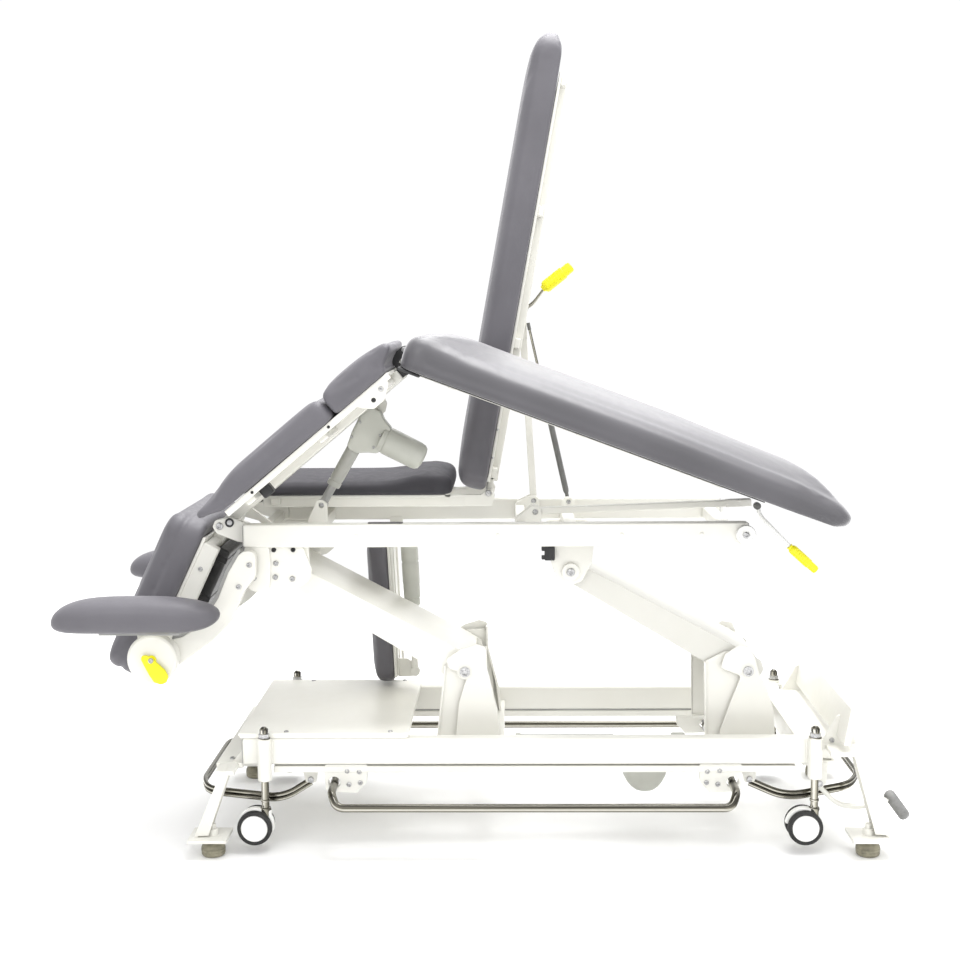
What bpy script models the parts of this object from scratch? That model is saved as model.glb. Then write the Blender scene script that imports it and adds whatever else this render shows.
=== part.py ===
"""Sectional treatment table: wheeled base, parallel lift arms, top frame, and a
top split lengthwise into a near and a far half. Metres, +Z up, +X towards the
foot end, -Y is the near side. The table stands with its near half tented, its
far back section raised and its far drop section hanging."""

import math

import bmesh
import bpy
from mathutils import Matrix, Vector

# ---- driving dimensions -------------------------------------------------
GAP = 0.0003                      # between pieces that meet
HALF_W = 0.39                     # half of the top's width
RAIL_Y, RAIL_W = 0.225, 0.03      # top frame rails
RAIL_Z0, RAIL_Z1 = 0.703, 0.757
RAIL_X0, RAIL_X1 = -0.558, 0.585
BASE_Y, BASE_W = 0.235, 0.036     # base side rails
BASE_Z0, BASE_Z1 = 0.200, 0.262
BASE_X0, BASE_X1 = -0.570, 0.745
POST_Y, POST_R = 0.265, 0.016
POST_X = {"left": -0.517, "right": 0.738}
POST_Z = {"left": 0.168, "right": 0.172}
WHEEL_R, WHEEL_TRAIL = 0.040, 0.023
WHEEL_Z = 0.062                   # casters are lifted clear, the table stands on its feet
FOOT_X, FOOT_Y = {"left": -0.636, "right": 0.857}, 0.285
ARM_LOW = {"left": (-0.060, 0.390), "right": (0.605, 0.390)}   # lift arm pivots (x, z)
ARM_DX, ARM_DZ = -0.416, 0.238    # low pivot to high pivot
ARM_HALF_W = 0.120
PIN_R, PIN_BORE = 0.0120, 0.0124
MID_PIVOT = (-0.592, 0.758)       # tented middle section
MID_ORIGIN = (-0.6068, 0.7750)    # where the section's board plane starts
MID_TILT = math.radians(39.9)
HEAD_PIVOT = (-0.615, 0.750)
HEAD_TILT = math.radians(64.5)
LEG_HINGE_S, LEG_HINGE_N = 0.5592, 0.0189   # in the middle section's own frame
LEG_TILT = math.radians(20.6)
BACK_PIVOT = (-0.005, 0.790)
BACK_TILT = math.radians(79.6)
DROP_PIVOT = (-0.245, 0.690)
DROP_LEAN = math.radians(2.65)
PROP_NEAR = ((0.107, 0.767), (0.612, 0.785))
PROP_FAR = ((0.108, 0.755), (0.081, 1.223))
PROP_FAR_Y = 0.190
SPRING_LOW, SPRING_HIGH = (0.1956, 0.755), (0.0955, 1.204)
ACT_Y = -0.108
ACT_LOW, ACT_HIGH = (-0.392, 0.786), (-0.2696, 0.9982)
HUB = (-0.760, 0.459)             # armrest hub axis
BRAKE_PIVOT = (0.755, 0.150)
BAR_R = 0.0095                    # foot switch bars

# ---- scene --------------------------------------------------------------
for old in list(bpy.data.objects):
    bpy.data.objects.remove(old, do_unlink=True)

TABLE = bpy.data.collections.new("treatment_table")
CUTTERS = bpy.data.collections.new("cutters")
bpy.context.scene.collection.children.link(TABLE)
bpy.context.scene.collection.children.link(CUTTERS)
CUTTERS.hide_render = True


def material(name, colour, rough, metal=0.0):
    mat = bpy.data.materials.new(name)
    mat.use_nodes = True
    shader = mat.node_tree.nodes["Principled BSDF"]
    shader.inputs["Base Color"].default_value = (*colour, 1.0)
    shader.inputs["Roughness"].default_value = rough
    shader.inputs["Metallic"].default_value = metal
    return mat


FINISH = {
    "white": ((0.86, 0.85, 0.80), 0.35, 0.0),
    "grey_pad": ((0.135, 0.125, 0.14), 0.45, 0.0),
    "chrome": ((0.75, 0.74, 0.70), 0.12, 1.0),
    "steel": ((0.45, 0.45, 0.46), 0.30, 1.0),
    "black": ((0.02, 0.02, 0.02), 0.50, 0.0),
    "yellow": ((0.90, 0.85, 0.02), 0.40, 0.0),
    "rubber": ((0.10, 0.10, 0.105), 0.65, 0.0),
    "plastic": ((0.55, 0.55, 0.52), 0.45, 0.0),
}


def empty(name, x, y, z, turn_y=0.0):
    obj = bpy.data.objects.new(name, None)
    obj.location = (x, y, z)
    obj.rotation_euler = (0.0, turn_y, 0.0)
    TABLE.objects.link(obj)
    return obj


def link(obj, name, finish, parent):
    """Names a piece, gives it its own material and hangs it on its carrier."""
    obj.name = name
    obj.data.name = name
    for coll in list(obj.users_collection):
        coll.objects.unlink(obj)
    if finish is None:
        CUTTERS.objects.link(obj)
        obj.hide_render = True
        obj.display_type = "WIRE"
    else:
        TABLE.objects.link(obj)
        obj.data.materials.clear()
        obj.data.materials.append(material(name, *FINISH[finish]))
    obj.parent = parent
    return obj


def bevel(obj, width, segments=1, angle=50.0):
    mod = obj.modifiers.new("round", "BEVEL")
    mod.width = width
    mod.segments = segments
    mod.limit_method = "ANGLE"
    mod.angle_limit = math.radians(angle)
    return obj


def box(name, x, y, z, finish=None, parent=None, turn_y=0.0, round_=0.0, segments=1):
    """A block between (lo, hi) pairs on each axis, in its parent's frame."""
    mesh = bpy.data.meshes.new(name)
    bm = bmesh.new()
    bmesh.ops.create_cube(bm, size=1.0)
    bmesh.ops.scale(bm, vec=(x[1] - x[0], y[1] - y[0], z[1] - z[0]), verts=bm.verts)
    bm.to_mesh(mesh)
    bm.free()
    obj = bpy.data.objects.new(name, mesh)
    obj.location = ((x[0] + x[1]) / 2, (y[0] + y[1]) / 2, (z[0] + z[1]) / 2)
    obj.rotation_euler = (0.0, turn_y, 0.0)
    bpy.context.scene.collection.objects.link(obj)
    link(obj, name, finish, parent)
    if round_:
        bevel(obj, round_, segments)
    return obj


def rod(name, start, end, radius, finish=None, parent=None, sides=16):
    """A round bar between two points."""
    start, end = Vector(start), Vector(end)
    mesh = bpy.data.meshes.new(name)
    bm = bmesh.new()
    bmesh.ops.create_cone(bm, cap_ends=True, segments=sides, radius1=radius,
                          radius2=radius, depth=(end - start).length)
    bm.to_mesh(mesh)
    bm.free()
    mesh.shade_smooth()
    mesh.set_sharp_from_angle(angle=math.radians(40))
    obj = bpy.data.objects.new(name, mesh)
    obj.location = (start + end) / 2
    obj.rotation_mode = "QUATERNION"
    obj.rotation_quaternion = (end - start).to_track_quat("Z", "Y")
    bpy.context.scene.collection.objects.link(obj)
    return link(obj, name, finish, parent)


def plate(name, outline, y, finish=None, parent=None, round_=0.0):
    """A flat outline in the XZ plane, thick between the two y values."""
    curve = bpy.data.curves.new(name, "CURVE")
    curve.dimensions = "2D"
    curve.fill_mode = "BOTH"
    curve.extrude = (y[1] - y[0]) / 2
    spline = curve.splines.new("POLY")
    spline.points.add(len(outline) - 1)
    for point, (px, pz) in zip(spline.points, outline):
        point.co = (px, pz, 0.0, 1.0)
    spline.use_cyclic_u = True
    flat = bpy.data.objects.new(name + "_curve", curve)
    bpy.context.scene.collection.objects.link(flat)
    obj = solid_of(flat, name)
    obj.data.transform(Matrix.Rotation(math.radians(90), 4, "X"))
    obj.location = (0.0, (y[0] + y[1]) / 2, 0.0)
    link(obj, name, finish, parent)
    if round_:
        bevel(obj, round_)
    return obj


def solid_of(curve_obj, name):
    """The evaluated curve as a closed mesh, with its caps welded."""
    bpy.context.view_layer.update()
    graph = bpy.context.evaluated_depsgraph_get()
    mesh = bpy.data.meshes.new_from_object(curve_obj.evaluated_get(graph))
    bm = bmesh.new()
    bm.from_mesh(mesh)
    bmesh.ops.remove_doubles(bm, verts=bm.verts, dist=1e-5)
    bmesh.ops.recalc_face_normals(bm, faces=bm.faces)
    bm.to_mesh(mesh)
    bm.free()
    obj = bpy.data.objects.new(name, mesh)
    obj.matrix_world = curve_obj.matrix_world
    bpy.data.objects.remove(curve_obj, do_unlink=True)
    bpy.context.scene.collection.objects.link(obj)
    return obj


def rounded(points, radius, steps=4):
    """A path with each inner corner turned into an arc-like bend."""
    points = [Vector(p) for p in points]
    path = [points[0]]
    for before, at, after in zip(points, points[1:], points[2:]):
        into, out = (before - at), (after - at)
        reach = min(radius, 0.45 * into.length, 0.45 * out.length)
        a, b = at + into.normalized() * reach, at + out.normalized() * reach
        for i in range(steps + 1):
            t = i / steps
            path.append(a * (1 - t) ** 2 + at * 2 * t * (1 - t) + b * t * t)
    return path + [points[-1]]


def tube(name, points, radius, finish=None, parent=None, bend=0.03):
    """A bent bar along a path."""
    curve = bpy.data.curves.new(name, "CURVE")
    curve.dimensions = "3D"
    curve.bevel_depth = radius
    curve.bevel_resolution = 2
    curve.use_fill_caps = True
    path = rounded(points, bend)
    spline = curve.splines.new("POLY")
    spline.points.add(len(path) - 1)
    for point, co in zip(spline.points, path):
        point.co = (*co, 1.0)
    obj = bpy.data.objects.new(name + "_curve", curve)
    bpy.context.scene.collection.objects.link(obj)
    obj = solid_of(obj, name)
    obj.data.shade_smooth()
    obj.data.set_sharp_from_angle(angle=math.radians(45))
    return link(obj, name, finish, parent)


def turned(name, profile, x, y, finish=None, parent=None, steps=20):
    """A profile of (radius, height), top to bottom, turned about a vertical axis."""
    mesh = bpy.data.meshes.new(name)
    bm = bmesh.new()
    verts = [bm.verts.new((r, 0.0, z)) for r, z in profile]
    for a, b in zip(verts, verts[1:]):
        bm.edges.new((a, b))
    bm.to_mesh(mesh)
    bm.free()
    obj = bpy.data.objects.new(name, mesh)
    obj.location = (x, y, 0.0)
    mod = obj.modifiers.new("turn", "SCREW")
    mod.steps = mod.render_steps = steps
    mod.use_merge_vertices = True
    mod.merge_threshold = 0.00005
    mod.use_smooth_shade = True
    bpy.context.scene.collection.objects.link(obj)
    return link(obj, name, finish, parent)


def boolean(obj, other, operation):
    mod = obj.modifiers.new(operation.lower(), "BOOLEAN")
    mod.operation = operation
    mod.solver = "EXACT"
    mod.object = other


def weld(obj, *others):
    for other in others:
        boolean(obj, other, "UNION")
    return obj


def bore(obj, *cutters):
    for cutter in cutters:
        boolean(obj, cutter, "DIFFERENCE")
    return obj


def axle(name, x, z, y0, y1, radius, finish=None, parent=None, sides=16):
    return rod(name, (x, y0, z), (x, y1, z), radius, finish, parent, sides)


def both(make):
    """Runs a maker for the near side (-1) and the far side (+1)."""
    return [make(-1), make(+1)]


# ---- base ---------------------------------------------------------------
def base_rail(side):
    y = sorted((side * (BASE_Y - BASE_W / 2), side * (BASE_Y + BASE_W / 2)))
    return box(f"base_rail{side}", (BASE_X0, BASE_X1), y, (BASE_Z0, BASE_Z1))


def base_lip(side):
    y = sorted((side * 0.219, side * 0.245))
    return box(f"base_lip{side}", (-0.500, 0.700), y, (0.183, BASE_Z0 + 0.004))


def post(end):
    def make(side):
        return rod(f"post_{end}{side}", (POST_X[end], side * POST_Y, POST_Z[end]),
                   (POST_X[end], side * POST_Y, BASE_Z1 + 0.004), POST_R)
    return make


def post_hole(end):
    def make(side):
        return rod(f"post_hole_{end}{side}", (POST_X[end], side * POST_Y, POST_Z[end] - 0.02),
                   (POST_X[end], side * POST_Y, 0.2275), 0.0091)
    return make


def lift_bracket(end):
    shift = ARM_LOW[end][0] - ARM_LOW["left"][0]
    outline = [(-0.128, 0.212), (0.024, 0.212), (0.010, 0.300), (-0.008, 0.395), (-0.014, 0.432),
               (-0.044, 0.446), (-0.085, 0.438), (-0.112, 0.390)]

    def make(side):
        y = sorted((side * 0.1305, side * 0.1410))
        return plate(f"lift_bracket_{end}{side}", [(x + shift, z) for x, z in outline], y)
    return make


def cross(name, x0, x1, z0, z1, y=0.235):
    return box(name, (x0, x1), (-y, y), (z0, z1))


def arm_bore(name, x, z):
    return axle(name, x, z, -0.2, 0.2, PIN_BORE)


low_bores = [arm_bore(f"low_bore_{end}", *ARM_LOW[end]) for end in ("left", "right")]
base_frame = cross("base_frame", -0.568, -0.520, 0.203, 0.258)
base_frame = link(base_frame, "base_frame", "white", None)
base_frame.hide_render = False
base_frame.display_type = "TEXTURED"
weld(base_frame, *both(base_rail), *both(base_lip),
     cross("cross_left", -0.008, 0.032, 0.203, 0.226),
     cross("cross_right", 0.600, 0.640, 0.203, 0.226),
     cross("cross_end", 0.700, 0.743, 0.203, 0.258),
     *both(lift_bracket("left")), *both(lift_bracket("right")),
     *both(post("left")), *both(post("right")))
bore(base_frame, *low_bores, *both(post_hole("left")), *both(post_hole("right")))

box("base_cover", (-0.580, -0.187), (-0.249, 0.249), (BASE_Z1 + GAP, 0.2735),
    "white", None, 0.0, 0.003)


def foot_bracket(end):
    if end == "left":
        top, low, flat = (-0.604, 0.198), (-0.672, 0.050), (-0.687, -0.598)
        shelf = ((-0.632, BASE_X0 - GAP), (0.190, 0.204))
        wing = ((-0.624, -0.580), (0.1905, 0.2035))
    else:
        top, low, flat = (0.829, 0.240), (0.898, 0.052), (0.814, 0.910)
        shelf = ((BASE_X1 + GAP, 0.842), (0.232, 0.246))
        wing = ((0.765, 0.838), (0.2330, 0.2450))
    sense = 1 if end == "right" else -1
    t = 0.004
    strip = [(top[0] - t, top[1] + 0.006), (top[0] + t, top[1] + 0.006),
             (low[0] + t, low[1] - 0.006), (low[0] - t, low[1] - 0.006)]
    piece = box(f"foot_bracket_{end}", shelf[0], (-0.247, 0.247), shelf[1], "white")
    for side in (-1, 1):
        y = sorted((side * (FOOT_Y - 0.023), side * (FOOT_Y + 0.023)))
        weld(piece, box(f"wing_{end}{side}", wing[0], sorted((side * 0.235, side * (FOOT_Y + 0.020))), wing[1]),
             plate(f"strip_{end}{side}", strip, y),
             box(f"sole_{end}{side}", flat, (y[0] - 0.002, y[1] + 0.002), (0.0400, 0.0485)))
    return piece


foot_bracket("left")
right_end = foot_bracket("right")
weld(right_end, box("end_board", (0.757, 0.843), (-0.320, 0.320), (0.300, 0.312), None, None,
                    math.radians(-80)))
for side in (-1, 1):
    weld(right_end, plate(f"end_web{side}", [(0.7455, 0.236), (0.838, 0.236), (0.826, 0.290),
                                             (0.812, 0.320), (0.788, 0.310), (0.764, 0.262)],
                          sorted((side * 0.220, side * 0.244))))
FOOT_PROFILE = [(0.0, 0.0396), (0.008, 0.0396), (0.008, 0.030), (0.020, 0.030),
                (0.0275, 0.024), (0.0275, 0.004), (0.024, 0.0), (0.0, 0.0)]
for end in ("left", "right"):
    for side, label in ((-1, "near"), (1, "far")):
        turned(f"foot_{label}_{end}", FOOT_PROFILE, FOOT_X[end], side * FOOT_Y, "rubber")

# lift drive: a screw cylinder lying between the rails that pushes the left arm's lug
DRIVE_Z = 0.185
drive = rod("lift_drive", (0.060, 0.0, DRIVE_Z), (0.400, 0.0, DRIVE_Z), 0.0125, "plastic")
weld(drive, box("drive_motor", (0.315, 0.430), (-0.065, 0.035), (0.085, 0.1905)),
     rod("drive_end", (0.395, 0.0, DRIVE_Z), (0.470, 0.0, DRIVE_Z), 0.009))
for end in ("left", "right"):
    axle(f"lift_pin_low_{end}", *ARM_LOW[end], -0.146, 0.146, PIN_R, "steel")

# ---- casters ------------------------------------------------------------
for end in ("left", "right"):
    for side, label in ((-1, "near"), (1, "far")):
        sx, sy = POST_X[end], side * POST_Y
        wx = sx - WHEEL_TRAIL
        turn = empty(f"swivel_{label}_{end}", sx, sy, 0.0)
        fork = axle(f"caster_fork_{label}_{end}", -WHEEL_TRAIL, WHEEL_Z, -0.0095, 0.0095,
                    0.030, "plastic", turn, 20)
        weld(fork, rod(f"stem_{label}_{end}", (0, 0, WHEEL_Z + 0.016), (0, 0, 0.2225), 0.0087),
             box(f"crown_{label}_{end}", (-0.020, 0.0135), (-0.0095, 0.0095),
                 (WHEEL_Z + 0.005, WHEEL_Z + 0.038)))
        bore(fork, axle(f"fork_bore_{label}_{end}", sx - WHEEL_TRAIL, WHEEL_Z,
                        sy - 0.02, sy + 0.02, 0.0064))
        spin = empty(f"spin_{label}_{end}", wx, sy, WHEEL_Z)
        wheel = axle(f"caster_wheel_{label}_{end}", 0, 0, -0.0290, -0.0102, WHEEL_R,
                     "rubber", spin, 28)
        weld(wheel, axle(f"disc_{label}_{end}", wx, WHEEL_Z, sy + 0.0102, sy + 0.0290, WHEEL_R,
                         None, None, 28),
             axle(f"hub_axle_{label}_{end}", wx, WHEEL_Z, sy - 0.02, sy + 0.02, 0.0060))
        for cutter in (fork.modifiers, wheel.modifiers):
            for mod in cutter:
                if mod.object.name.startswith(("stem_", "crown_")):
                    mod.object.parent = turn

# ---- foot switch bars and brake pedal ------------------------------------
for side, label in ((-1, "near"), (1, "far")):
    hang = empty(f"bar_axis_{label}", 0.1, side * 0.200, 0.155)
    tube(f"foot_bar_{label}",
         [(-0.460, 0.0, 0.0), (-0.460, side * 0.110, -0.004), (-0.445, side * 0.135, -0.029),
          (0.440, side * 0.135, -0.029), (0.455, side * 0.110, -0.004), (0.455, 0.0, 0.0)],
         BAR_R, "chrome", hang)
hang = empty("bar_axis_left", -0.420, 0.0, 0.150)
tube("foot_bar_left", [(0.0, -0.190, -0.006), (-0.066, -0.205, -0.044), (-0.240, -0.205, -0.024),
                       (-0.262, -0.150, -0.018), (-0.262, 0.150, -0.018), (-0.240, 0.205, -0.024),
                       (-0.066, 0.205, -0.044), (0.0, 0.190, -0.006)], BAR_R, "chrome", hang)
hang = empty("bar_axis_right", 0.600, 0.0, 0.150)
tube("foot_bar_right", [(0.0, -0.190, -0.008), (0.085, -0.205, -0.042), (0.230, -0.205, -0.014),
                        (0.262, -0.150, -0.006), (0.262, 0.150, -0.006), (0.230, 0.205, -0.014),
                        (0.085, 0.205, -0.042), (0.0, 0.190, -0.008)], BAR_R, "chrome", hang)
hang = empty("brake_axis", BRAKE_PIVOT[0], -0.2252, BRAKE_PIVOT[1])
pedal = tube("brake_pedal", [(-0.012, 0.0, 0.004), (0.045, 0.0, -0.054), (0.095, 0.0, -0.060),
                             (0.170, 0.0, -0.036)], 0.0100, "white", hang, 0.05)
weld(pedal, tube("pedal_pad", [(0.160, 0.0, -0.026), (0.2010, 0.0, -0.083)], 0.0135, None, hang))

# ---- lift arms ----------------------------------------------------------
ARM_ANGLE = math.atan2(ARM_DZ, -ARM_DX)
for end in ("left", "right"):
    lx, lz = ARM_LOW[end]
    hinge = empty(f"lift_axis_{end}", lx, 0.0, lz, ARM_ANGLE)
    length = math.hypot(ARM_DX, ARM_DZ)
    outline = [(-length - 0.036, -0.016), (-length - 0.024, -0.027), (0.0, -0.038), (0.026, -0.034), (0.038, -0.018),
               (0.038, 0.018), (0.026, 0.033), (0.0, 0.036), (-length - 0.024, 0.023), (-length - 0.036, 0.014)]
    arm = plate(f"lift_arm_{end}", outline, (-ARM_HALF_W, ARM_HALF_W), "white", hinge)
    bevel(arm, 0.010, 2)
    if end == "left":
        lug = box("drive_lug", (lx - 0.018, lx + 0.018), (-0.020, 0.020), (lz - 0.225, lz))
        weld(arm, lug)
    bore(arm, arm_bore(f"arm_low_bore_{end}", lx, lz),
         arm_bore(f"arm_high_bore_{end}", lx + ARM_DX, lz + ARM_DZ))
    axle(f"lift_pin_high_{end}", lx + ARM_DX, lz + ARM_DZ, -0.146, 0.146, PIN_R, "steel")
rod("lift_rod", (ARM_LOW["left"][0] + 0.019, 0.0, DRIVE_Z), (0.0597, 0.0, DRIVE_Z), 0.0080, "steel")

# ---- top frame ----------------------------------------------------------
def rail(side):
    y = sorted((side * (RAIL_Y - RAIL_W / 2), side * (RAIL_Y + RAIL_W / 2)))
    return box(f"rail{side}", (RAIL_X0, RAIL_X1), y, (RAIL_Z0, RAIL_Z1))


def ear(side):
    """The pivot ear at the head end of each rail."""
    outline = [(-0.520, 0.750), (-0.520, 0.708), (-0.575, 0.716), (-0.622, 0.734),
               (-0.630, 0.748), (-0.625, 0.760), (-0.610, 0.765), (-0.592, 0.769),
               (-0.578, 0.765), (-0.548, 0.751)]
    y = sorted((side * 0.1985, side * 0.2150))
    return plate(f"ear{side}", outline, y)


def outer_bracket(side):
    outline = [(-0.556, 0.710), (-0.410, 0.710), (-0.402, 0.630), (-0.420, 0.598),
               (-0.470, 0.590), (-0.520, 0.600), (-0.556, 0.640)]
    y = sorted((side * 0.2140, side * 0.2345))
    return plate(f"outer_bracket{side}", outline, y)


def high_bracket(end):
    cx, cz = ARM_LOW[end][0] + ARM_DX, ARM_LOW[end][1] + ARM_DZ
    outline = [(cx - 0.050, 0.712), (cx + 0.050, 0.712), (cx + 0.030, cz - 0.012),
               (cx + 0.010, cz - 0.030), (cx - 0.010, cz - 0.030), (cx - 0.030, cz - 0.012)]

    def make(side):
        y = sorted((side * 0.1305, side * 0.1410))
        return plate(f"high_bracket_{end}{side}", outline, y)
    return make


def prop_lugs(x, z, y):
    lugs = []
    for i, off in enumerate((-0.0215, 0.0115)):
        lugs.append(box(f"prop_lug_{x:.3f}_{y:.3f}_{i}", (x - 0.048, x + 0.014),
                        (y + off, y + off + 0.010), (0.715, z + 0.013)))
    return lugs


top_frame = cross("top_frame", 0.540, 0.570, 0.705, 0.735, 0.224)
link(top_frame, "top_frame", "white", None)
top_frame.hide_render = False
top_frame.display_type = "TEXTURED"
weld(top_frame, *both(rail), *both(ear), *both(outer_bracket),
     cross("top_cross_a", -0.555, -0.530, 0.705, 0.728, 0.224),
     cross("top_cross_b", -0.430, -0.400, 0.705, 0.735, 0.224),
     cross("top_cross_c", 0.060, 0.085, 0.705, 0.745, 0.224),
     cross("top_cross_d", 0.175, 0.205, 0.705, 0.735, 0.224),
     *both(high_bracket("left")), *both(high_bracket("right")),
     plate("inner_ear", [(-0.560, 0.733), (-0.530, 0.706), (-0.530, 0.730), (-0.575, 0.765),
                         (-0.592, 0.769), (-0.604, 0.764), (-0.604, 0.748)], (-0.022, -0.010)),
     *prop_lugs(*PROP_NEAR[0], -0.105), *prop_lugs(*PROP_FAR[0], PROP_FAR_Y),
     box("spring_lug", (0.178, 0.210), (0.1450, 0.1545), (0.715, 0.768)),
     box("act_lug", (-0.425, -0.378), (-0.1320, -0.1220), (0.712, 0.798)),
     box("drop_lug_a", (-0.262, -0.228), (0.2090, 0.2170), (0.675, 0.712)),
     box("drop_lug_b", (-0.262, -0.228), (0.2330, 0.2410), (0.675, 0.712)))
bore(top_frame,
     arm_bore("high_bore_left", ARM_LOW["left"][0] + ARM_DX, ARM_LOW["left"][1] + ARM_DZ),
     arm_bore("high_bore_right", ARM_LOW["right"][0] + ARM_DX, ARM_LOW["right"][1] + ARM_DZ),
     axle("mid_bore", *MID_PIVOT, -0.230, -0.005, 0.0069),
     axle("head_bore", *HEAD_PIVOT, -0.230, 0.230, 0.0074),
     axle("prop_near_bore", *PROP_NEAR[0], -0.150, -0.050, 0.0064),
     axle("prop_far_bore", *PROP_FAR[0], 0.150, 0.250, 0.0064),
     axle("spring_bore", *SPRING_LOW, 0.130, 0.160, 0.0054),
     axle("act_bore", *ACT_LOW, -0.140, -0.110, 0.0064),
     axle("drop_bore", *DROP_PIVOT, 0.200, 0.250, 0.0064))

# far half's fixed seat section
seat_frame = box("seat_frame_far", (-0.580, -0.110), (0.030, 0.370), (0.776, 0.7893), "white")
weld(seat_frame, box("seat_runner_a", (-0.560, -0.060), (0.050, 0.080), (RAIL_Z1 + GAP, 0.780)),
     box("seat_runner_b", (-0.510, -0.060), (0.2165, 0.237), (RAIL_Z1 + GAP, 0.780)))
for i, y in enumerate((0.0505, 0.2180)):
    weld(seat_frame, plate(f"back_ear{i}", [(-0.100, 0.760), (0.004, 0.7575), (0.011, 0.786),
                                            (0.004, 0.799), (-0.010, 0.799), (-0.022, 0.786),
                                            (-0.100, 0.785)], (y, y + 0.010)))
bore(seat_frame, axle("back_bore", *BACK_PIVOT, 0.030, 0.245, 0.0074))
box("seat_pad_far", (-0.610, -0.104), (0.010, HALF_W), (0.7897, 0.8400), "grey_pad", None, 0, 0.016, 2)

# ---- tented middle section (near half) -----------------------------------
mid = empty("mid_axis", MID_ORIGIN[0], 0.0, MID_ORIGIN[1], -MID_TILT)
mid_frame = box("mid_frame", (0.046, 0.512), (-0.365, -0.030), (-0.006, 0.0010), "white", mid)
KNUCKLE = [(0.500, -0.028), (0.5295, -0.028), (0.5295, 0.0104), (0.5592, 0.0094), (0.5677, 0.0139),
           (0.5692, 0.0219), (0.5642, 0.0284), (0.5552, 0.0294), (0.5170, 0.0274), (0.5170, -0.0045),
           (0.500, -0.0045)]
for i, y in enumerate((-0.170, -0.045)):
    weld(mid_frame, box(f"mid_tube{i}", (-0.008, 0.515), (y - 0.0125, y + 0.0125), (-0.030, -0.004), None, mid),
         plate(f"mid_knuckle{i}", KNUCKLE, (y - 0.0060, y + 0.0060), None, mid))
weld(mid_frame, axle("mid_pin", *MID_PIVOT, -0.2170, -0.0085, 0.0065),
     box("act_bracket", (0.385, 0.440), (-0.0895, -0.0795), (-0.057, -0.002), None, mid))


def mid_point(s, n):
    c, k = math.cos(MID_TILT), math.sin(MID_TILT)
    return MID_ORIGIN[0] + s * c - n * k, MID_ORIGIN[1] + s * k + n * c


LEG_HINGE = mid_point(LEG_HINGE_S, LEG_HINGE_N)
bore(mid_frame, axle("leg_bore", *LEG_HINGE, -0.200, -0.020, 0.0064),
     axle("act_top_bore", *ACT_HIGH, -0.100, -0.070, 0.0064))
bevel(plate("mid_pad_lower", [(0.020, 0.0014), (0.366, 0.0014), (0.366, 0.070), (-0.012, 0.070), (-0.012, 0.020)],
            (-HALF_W, -0.010), "grey_pad", mid), 0.012, 2, 35)
box("mid_pad_upper", (0.374, 0.516), (-HALF_W, -0.010), (0.0014, 0.074), "grey_pad", mid, 0, 0.018, 2)

# tilt actuator: housing and motor hang on the section, the rod reaches the frame
reach = Vector((ACT_LOW[0] - ACT_HIGH[0], 0.0, ACT_LOW[1] - ACT_HIGH[1]))
aim = reach.normalized()
top = Vector((ACT_HIGH[0], ACT_Y, ACT_HIGH[1]))
housing = rod("tilt_actuator", top + aim * 0.008, top + aim * 0.150, 0.0185, "plastic")
side_way = Vector((-aim.z, 0.0, aim.x))
weld(housing, axle("act_eye", *ACT_HIGH, ACT_Y, ACT_Y + 0.030, 0.0060),
     axle("act_boss", *ACT_HIGH, ACT_Y - 0.012, ACT_Y + 0.0175, 0.0140),
     rod("act_gear", top + aim * 0.050 - side_way * 0.012, top + aim * 0.050 + side_way * 0.050, 0.0255),
     rod("act_motor", top + aim * 0.050 + side_way * 0.040,
         top + aim * 0.050 + side_way * 0.128, 0.0235))
act_bore_cut = rod("act_rod_hole", top + aim * 0.072, top + aim * 0.170, 0.0104)
bore(housing, act_bore_cut)
act_rod = rod("tilt_actuator_rod", top + aim * 0.118, top + aim * (reach.length - 0.006), 0.0100, "steel")
weld(act_rod, axle("act_rod_eye", *ACT_LOW, ACT_Y - 0.0080, ACT_Y + 0.0080, 0.0130))

# ---- leg section (near half) ----------------------------------------------
leg = empty("leg_axis", LEG_HINGE[0], 0.0, LEG_HINGE[1], LEG_TILT)
leg_frame = box("leg_frame", (0.060, 0.860), (-0.340, -0.030), (-0.0370, -0.0304), "white", leg)
for i, y in enumerate((-0.135, -0.075)):
    weld(leg_frame, box(f"leg_tube{i}", (0.040, 0.800), (y - 0.0125, y + 0.0125), (-0.056, -0.034), None, leg),
         box(f"leg_strap{i}", (-0.006, 0.060), (y - 0.0125, y + 0.0125), (-0.0400, -0.0315), None, leg),
         box(f"leg_strap_up{i}", (-0.006, 0.0045), (y - 0.0125, y + 0.0125), (-0.0400, 0.0060), None, leg))
weld(leg_frame, axle("leg_pin", 0.0, 0.0, -0.190, -0.025, 0.0060, None, leg))
box("leg_pad", (0.012, 1.042), (-HALF_W, -0.010), (-0.0300, 0.0720), "grey_pad", leg, 0, 0.020, 2)

# ---- props and release levers ----------------------------------------------
def bar(name, a, b, half_y, half_t, y, finish, parent):
    """A flat bar between two (x, z) points, held on a parent at its first point."""
    length = math.hypot(b[0] - a[0], b[1] - a[1])
    return box(name, (-0.010, length), (y - half_y, y + half_y), (-half_t, half_t), finish, parent)


def prop_axis(name, a, b):
    return empty(name, a[0], 0.0, a[1], -math.atan2(b[1] - a[1], b[0] - a[0]))


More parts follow.
